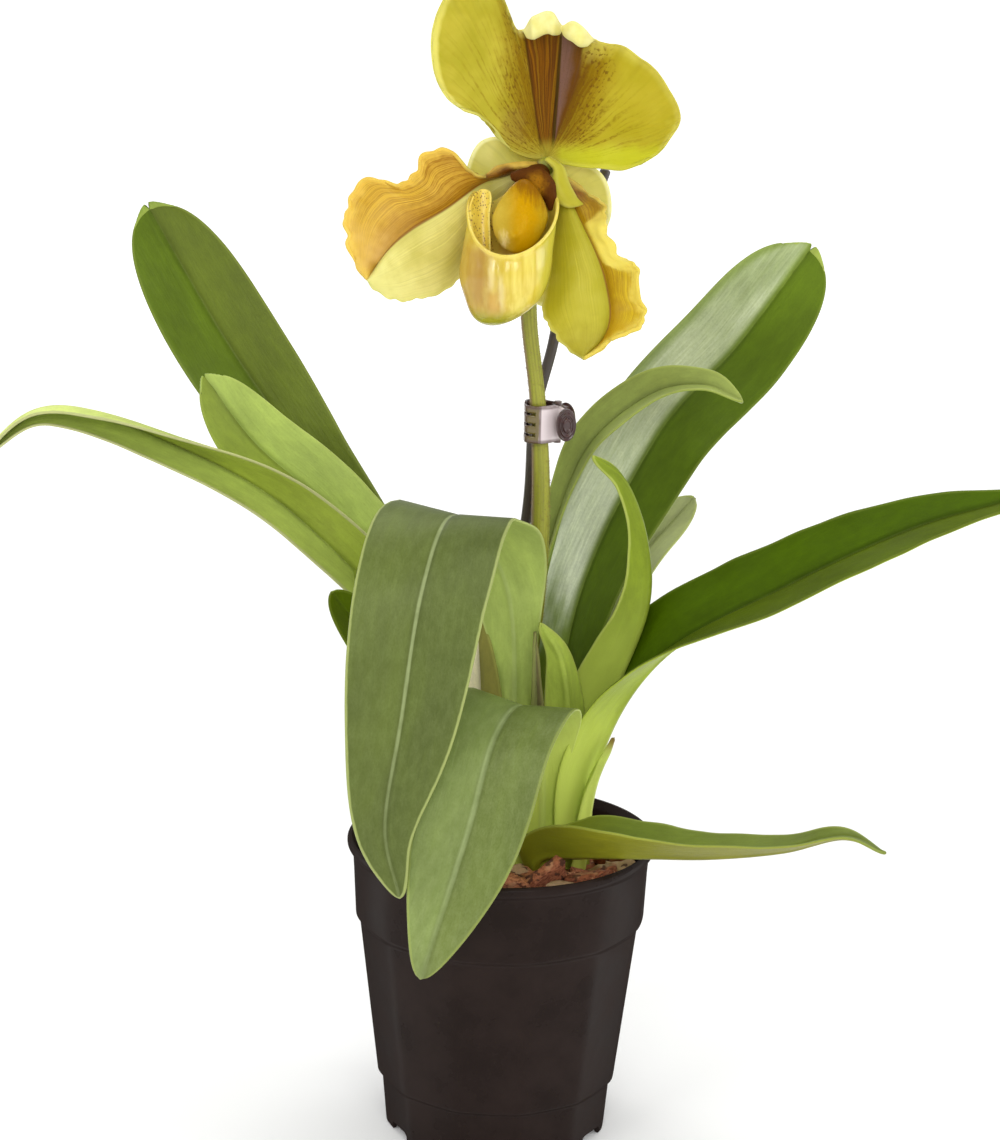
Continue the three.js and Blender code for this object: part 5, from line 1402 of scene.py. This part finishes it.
BARK_REACH = 54.6  # the chips stop short of the pot's wall
BED = [[0.01, 6.4], [42.6, 6.4], [52.2, 84.5], [53.9, 87.5], [55.0, 103], [52, 105.5], [44, 106.2],
       [30, 106.5],
       [18, 106.6], [6, 106.5], [0.01, 106.5]]
CHIPS, GOLDEN_TURN = 120, 2.39996
CROWN_X, CROWN_WIDE, CROWN_DEEP = 13, 30, 17  # low, small chips between the leaf bases


def bark_chip(rng, size, centre, turns):
    bm = bmesh.new()
    bmesh.ops.create_cube(bm, size=1.0)
    bmesh.ops.subdivide_edges(bm, edges=bm.edges[:], cuts=5, use_grid_fill=True)
    bm.verts.ensure_lookup_table()
    p = np.array([v.co for v in bm.verts], float)
    faces = [[v.index for v in f.verts] for f in bm.faces]
    bm.free()
    corners = [(i, j, k) for i in (0, 1) for j in (0, 1) for k in (0, 1)]
    corner = {c: np.array([rng.uniform(-0.2, 0.2) for _ in range(3)]) for c in corners}
    q = p.copy()
    w = p + 0.5
    for (i, j, k), shift in corner.items():
        share = (w[:, 0] if i else 1 - w[:, 0]) * (w[:, 1] if j else 1
                                                   - w[:, 1]) * (w[:, 2] if k else 1 - w[:, 2])
        q += share[:, None] * shift
    length = np.linalg.norm(p, axis=1, keepdims=True)
    q *= 1 - 0.16 * smooth(length, 0.5, 0.87)  # worn corners
    seed = rng.uniform(0, 50)
    q *= np.array(size)
    rough = wobble(q, 4.5, seed)[:, None]
    fine = wobble(q * [1, 1, 2.2], 1.9, seed + 9)[:, None]
    q += unit(p) * (0.75 * rough + 0.4 * fine)
    turn_x, turn_y, turn_z = (Matrix.Rotation(angle, 3, axis) for angle, axis in zip(turns, "XYZ"))
    turn = np.array(turn_z @ turn_y @ turn_x)
    verts = q @ turn.T + centre
    reach = np.linalg.norm(verts[:, :2], axis=1)
    verts[:, :2] *= np.minimum(1, BARK_REACH / np.maximum(reach, 1e-6))[:, None]
    tone, pale = rng.random(), rng.random()
    marks = {"own": q + seed * 3,
             "chip": np.stack([np.full(len(q), tone), w[:, 2], np.full(len(q), pale)], -1)}
    return verts, faces, marks


def bark():
    rng = random.Random(8)
    # The bed fills the pot up to the chips
    columns = 96
    turn = 2 * math.pi * np.arange(columns) / columns
    rings = []
    for r, z in BED:
        rr = r * (1 - 0.022 * (z < 100)) * np.ones(columns)
        ring = np.stack([rr * np.sin(turn), -rr * np.cos(turn), np.full(columns, z)], -1)
        if z > 104:
            ring[:, 2] += wobble(ring, 6, 3.0) * 1.2
        rings.append(ring)
    verts = np.concatenate(rings)
    faces = grid_faces(len(BED), columns, closed=True)
    faces += [list(range(columns))[::-1], [(len(BED) - 1) * columns + k for k in range(columns)]]
    parts = [(verts, faces, {"own": verts, "chip": verts * 0 + [0.2, 0, 0]})]
    for i in range(CHIPS):
        a = i * GOLDEN_TURN
        reach = 50.5 * math.sqrt((i + 0.5) / CHIPS)
        x, y = reach * math.cos(a), reach * math.sin(a)
        near = math.hypot((x - CROWN_X) / CROWN_WIDE, y / CROWN_DEEP) < 1
        size = [rng.uniform(8, 15), rng.uniform(6, 10), rng.uniform(3.5, 6.5)]
        if near:
            size = [s * 0.6 for s in size]
        z = (104.5 if near else 107.6) + rng.uniform(-0.8, 2.2)
        tilt = [rng.uniform(-0.55, 0.55), rng.uniform(-0.55, 0.55), rng.uniform(0, 6.28)]
        parts.append(bark_chip(rng, size, np.array([x, y, z]), tilt))
    # Larger chips that stand up behind the front rim
    for size, centre, turns in (
        ([15, 10, 9], [4, -43, 112.5], [0.3, 0.25, 0.5]),
        ([18, 8, 10], [17, -37, 113.5], [0.5, -0.6, 0.3]),
        ([17, 10, 9], [35, -36, 112.5], [0.25, -0.1, -0.2]),
        ([12, 9, 8], [24, -45, 111.5], [0.1, 0.3, 1.2]),
        ([13, 8, 8], [-50, -8, 114.5], [0.2, 0.5, 1.4]),
    ):
        parts.append(bark_chip(rng, size, np.array(centre, float), turns))
    verts, faces, marks = join(parts)
    make("bark_chips", verts, faces, marks, bark_look(), replaces=["potting_bark"])


bark()


# Claw clip
CLIP_FOOT, CLIP_HEIGHT, CLIP_WALL = 276.5, 13, 1.1
CLIP_PIN_AT = (17.5, -7.5)
FRONT_JAW = [[22, -14], [20.4, -11.8], [17.5, -10.5], [14.6, -13.2], [11.4, -15.3], [8.4, -15.1], [6, -13.4],
             [5.4, -9.8]]
BACK_JAW = [[22, -1], [20.4, -3.2], [17.5, -4.5], [14, -2], [11, 0.3], [8.4, 0.3], [5.9, -1.1], [5.6, -4.6]]
FRONT_KNUCKLES = [[2.9, 1.5], [8.6, 1.5]]
BACK_KNUCKLES = [[0, 2.6], [10.4, 2.6]]
SLOT_HALF, SLOT_TO_X = 0.95, 9.6
KNUCKLE_RADIUS, PIN_HOLE = 2.0, 1.1
PAD_RADIUS, PAD_TURN = 3.8, -20
PAD_PROFILE = [[0.0, -0.4], [0.9, -0.4], [0.99, -0.2], [1.0, 0.5], [0.97, 1.0], [0.92, 1.15], [0.86, 1.0],
               [0.80, 0.95], [0.76, 1.2], [0.70, 1.55], [0.63, 1.5], [0.57, 1.25], [0.5, 1.25], [0.46, 1.6],
               [0.4, 1.95], [0.33, 1.95], [0.28, 1.7], [0.2, 1.65], [0.0, 1.65]]


def clip_look(name, teeth, plate, pad, dark):
    look = Look(name)
    x, z, kind = look.mark("zone")
    side = look.mark("side")[0]
    place = look.place()
    cloud = look.noise(place, 0.35, 3)
    fine = look.noise(place, 1.4, 2)
    colour = look.mix(look.step(x + cloud * 0.8, 10.6, 11.6), teeth, plate)
    edge = look.step(abs(z), 5.3, 6.2, 0.0, 0.7)
    colour = look.mix(edge, colour, dark)
    colour = look.mix(look.step(side, 0.0, -0.6, 0.0, 0.8), colour, dark)
    colour = look.mix(look.step(x, 7.4, 6.2) * 0.7, colour, dark)
    border = look.step(abs(x - 10.9), 0.5, 0.15, 0.0, 0.7)
    colour = look.mix(border, colour, dark)
    colour = look.mix(kind, colour, look.mix(look.step(cloud, 0.35, 0.65), pad, shade(pad, 0.86)))
    normal = look.bump(fine, 0.15, 0.06)
    return look.finish(colour, look.step(cloud, 0.3, 0.7, 0.12, 0.22), normal, Coat_Weight=0.35,
                       Coat_Roughness=0.06)


def pad_marks(verts):
    """Marks of the parts that have the pad's colour."""
    one = np.ones(len(verts))
    return {"zone": np.stack([one * 20, one * 0, one], -1), "side": in_x(one)}


def jaw(name, line, knuckles, body, material):
    pin_x, pin_y = CLIP_PIN_AT
    outward = math.copysign(1, line[0][1] - pin_y)
    rows = 120
    path, _ = even([[x, y, 0] for x, y in line], np.linspace(0, 1, rows))
    heights = [0.0]
    for share in (0.2, 0.5, 0.8):
        middle = CLIP_HEIGHT * share
        heights += [middle - SLOT_HALF, middle + SLOT_HALF]
    heights.append(CLIP_HEIGHT)
    z, gaps = [], []
    for k, (low, high) in enumerate(zip(heights, heights[1:])):
        steps = 4 if k % 2 == 0 else 2
        z += list(np.linspace(low, high, steps, endpoint=False))
        gaps += [k % 2 == 1] * steps
    z = np.array(z + [CLIP_HEIGHT])
    sheet = np.repeat(path[:, None], len(z), 1)
    narrow = 1 - 0.3 * smooth(path[:, 0], 15.5, 22)[:, None]  # towards the thumb pad
    sheet[..., 2] = CLIP_FOOT + CLIP_HEIGHT / 2 + (z[None] - CLIP_HEIGHT / 2) * narrow
    faces = []
    for i in range(rows - 1):
        for j in range(len(z) - 1):
            if gaps[j] and path[i + 1][0] < SLOT_TO_X and i > rows / 2:
                continue
            a = i * len(z) + j
            faces.append([a, a + 1, a + 1 + len(z), a + len(z)])
    flat = sheet.reshape(-1, 3)
    used = sorted({v for f in faces for v in f})
    place = {v: i for i, v in enumerate(used)}
    faces = [[place[v] for v in f] for f in faces]
    flat = flat[used]
    middle = CLIP_FOOT + CLIP_HEIGHT / 2
    marks = {"zone": np.stack([flat[:, 0], flat[:, 2] - middle, flat[:, 0] * 0], -1)}
    parts = [body_of_sheet(flat, faces, CLIP_WALL / 2, CLIP_WALL / 2, marks, flip=outward > 0)]
    # Oval thumb pad with rings
    turn = np.array(Matrix.Rotation(outward * math.radians(PAD_TURN), 3, "Z"))
    at = np.array([line[0][0] - 1.5, line[0][1] + outward * 0.1, middle])
    profile = along(PAD_PROFILE, np.linspace(0, 1, 90))
    angle = 2 * math.pi * np.arange(56) / 56
    rings = []
    for r, h in profile:
        r = max(r, 0.004)
        tall = (CLIP_HEIGHT / 2 - 0.4) * r
        rings.append(np.stack([PAD_RADIUS * r * np.cos(angle), np.full(56, outward * h),
                               tall * np.sin(angle)], -1))
    pad = np.concatenate(rings) @ turn.T + at
    pad_faces = grid_faces(len(profile), 56, closed=True)
    pad_faces += [list(range(56))[::-1], [(len(profile) - 1) * 56 + k for k in range(56)]]
    if outward < 0:
        pad_faces = [f[::-1] for f in pad_faces]
    parts.append((pad, pad_faces, pad_marks(pad)))
    # Knuckles round the pin, with their webs
    for low, height in knuckles:
        reach = line[2][1] - pin_y
        profile = [(KNUCKLE_RADIUS * 0.86, 0), (KNUCKLE_RADIUS, 0.14 * height),
                   (KNUCKLE_RADIUS, 0.86 * height),
                   (KNUCKLE_RADIUS * 0.86, height), (PIN_HOLE, height), (PIN_HOLE, 0)]
        angle = 2 * math.pi * np.arange(40) / 40
        verts = np.concatenate([np.stack([pin_x + r * np.cos(angle), pin_y + r * np.sin(angle),
                                          np.full(40, CLIP_FOOT + low + h)], -1) for r, h in profile])
        ring_faces = grid_faces(6, 40, closed=True)
        ring_faces += [[5 * 40 + j, 5 * 40 + (j + 1) % 40, (j + 1) % 40, j] for j in range(40)]
        parts.append((verts, ring_faces, pad_marks(verts)))
        y0, y1 = sorted((pin_y + 1.3 * math.copysign(1, reach), pin_y + reach))
        foot = CLIP_FOOT + low + 0.1
        web = np.array([[pin_x + 0.8 * i, y, foot + (height - 0.2) * k]
                        for i in (-1, 1) for y in (y0, y1) for k in (0, 1)])
        web_faces = [[0, 1, 3, 2], [4, 6, 7, 5], [0, 4, 5, 1], [2, 3, 7, 6], [0, 2, 6, 4], [1, 5, 7, 3]]
        parts.append((web, web_faces, pad_marks(web)))
    verts, faces, marks = join(parts)
    make(name + "_shell", verts, faces, marks, material, body=body, replaces=[name], sharp=50)


# The front jaw's pale pinkish plate colour is a painted highlight on the brown plastic
jaw("clip_front_jaw", FRONT_JAW, FRONT_KNUCKLES, "clip_jaw",
    clip_look("clip_front", (104, 90, 44), (218, 204, 206), (66, 40, 38), (84, 58, 54)))
jaw("clip_back_jaw", BACK_JAW, BACK_KNUCKLES, "plant",
    clip_look("clip_back", (84, 66, 48), (86, 62, 58), (80, 54, 50), (70, 48, 44)))


def plastic_look(name, tint, dark, rough):
    look = Look(name)
    place = look.place()
    cloud = look.noise(place, 0.25, 3)
    colour = look.mix(look.step(cloud, 0.3, 0.7), tint, dark)
    normal = look.bump(look.noise(place, 1.5, 2), 0.2, 0.06)
    return look.finish(colour, look.step(cloud, 0.3, 0.7, rough, rough + 0.1), normal, Coat_Weight=0.4,
                       Coat_Roughness=0.1)


def paint(name, look):
    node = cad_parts[name]
    node.data.materials.clear()
    node.data.materials.append(look)
    for slot in node.material_slots:
        slot.material = look


paint("clip_pin", plastic_look("clip_pin", (120, 96, 92), (100, 80, 76), 0.25))


def metal_look():
    look = Look("clip_spring")
    cloud = look.noise(look.place(), 1.2, 3)
    return look.finish(look.mix(cloud, (170, 168, 164), (196, 194, 190)),
                       look.step(cloud, 0.3, 0.7, 0.22, 0.36), look.bump(cloud, 0.2, 0.05), Metallic=1.0)


paint("clip_spring", metal_look())
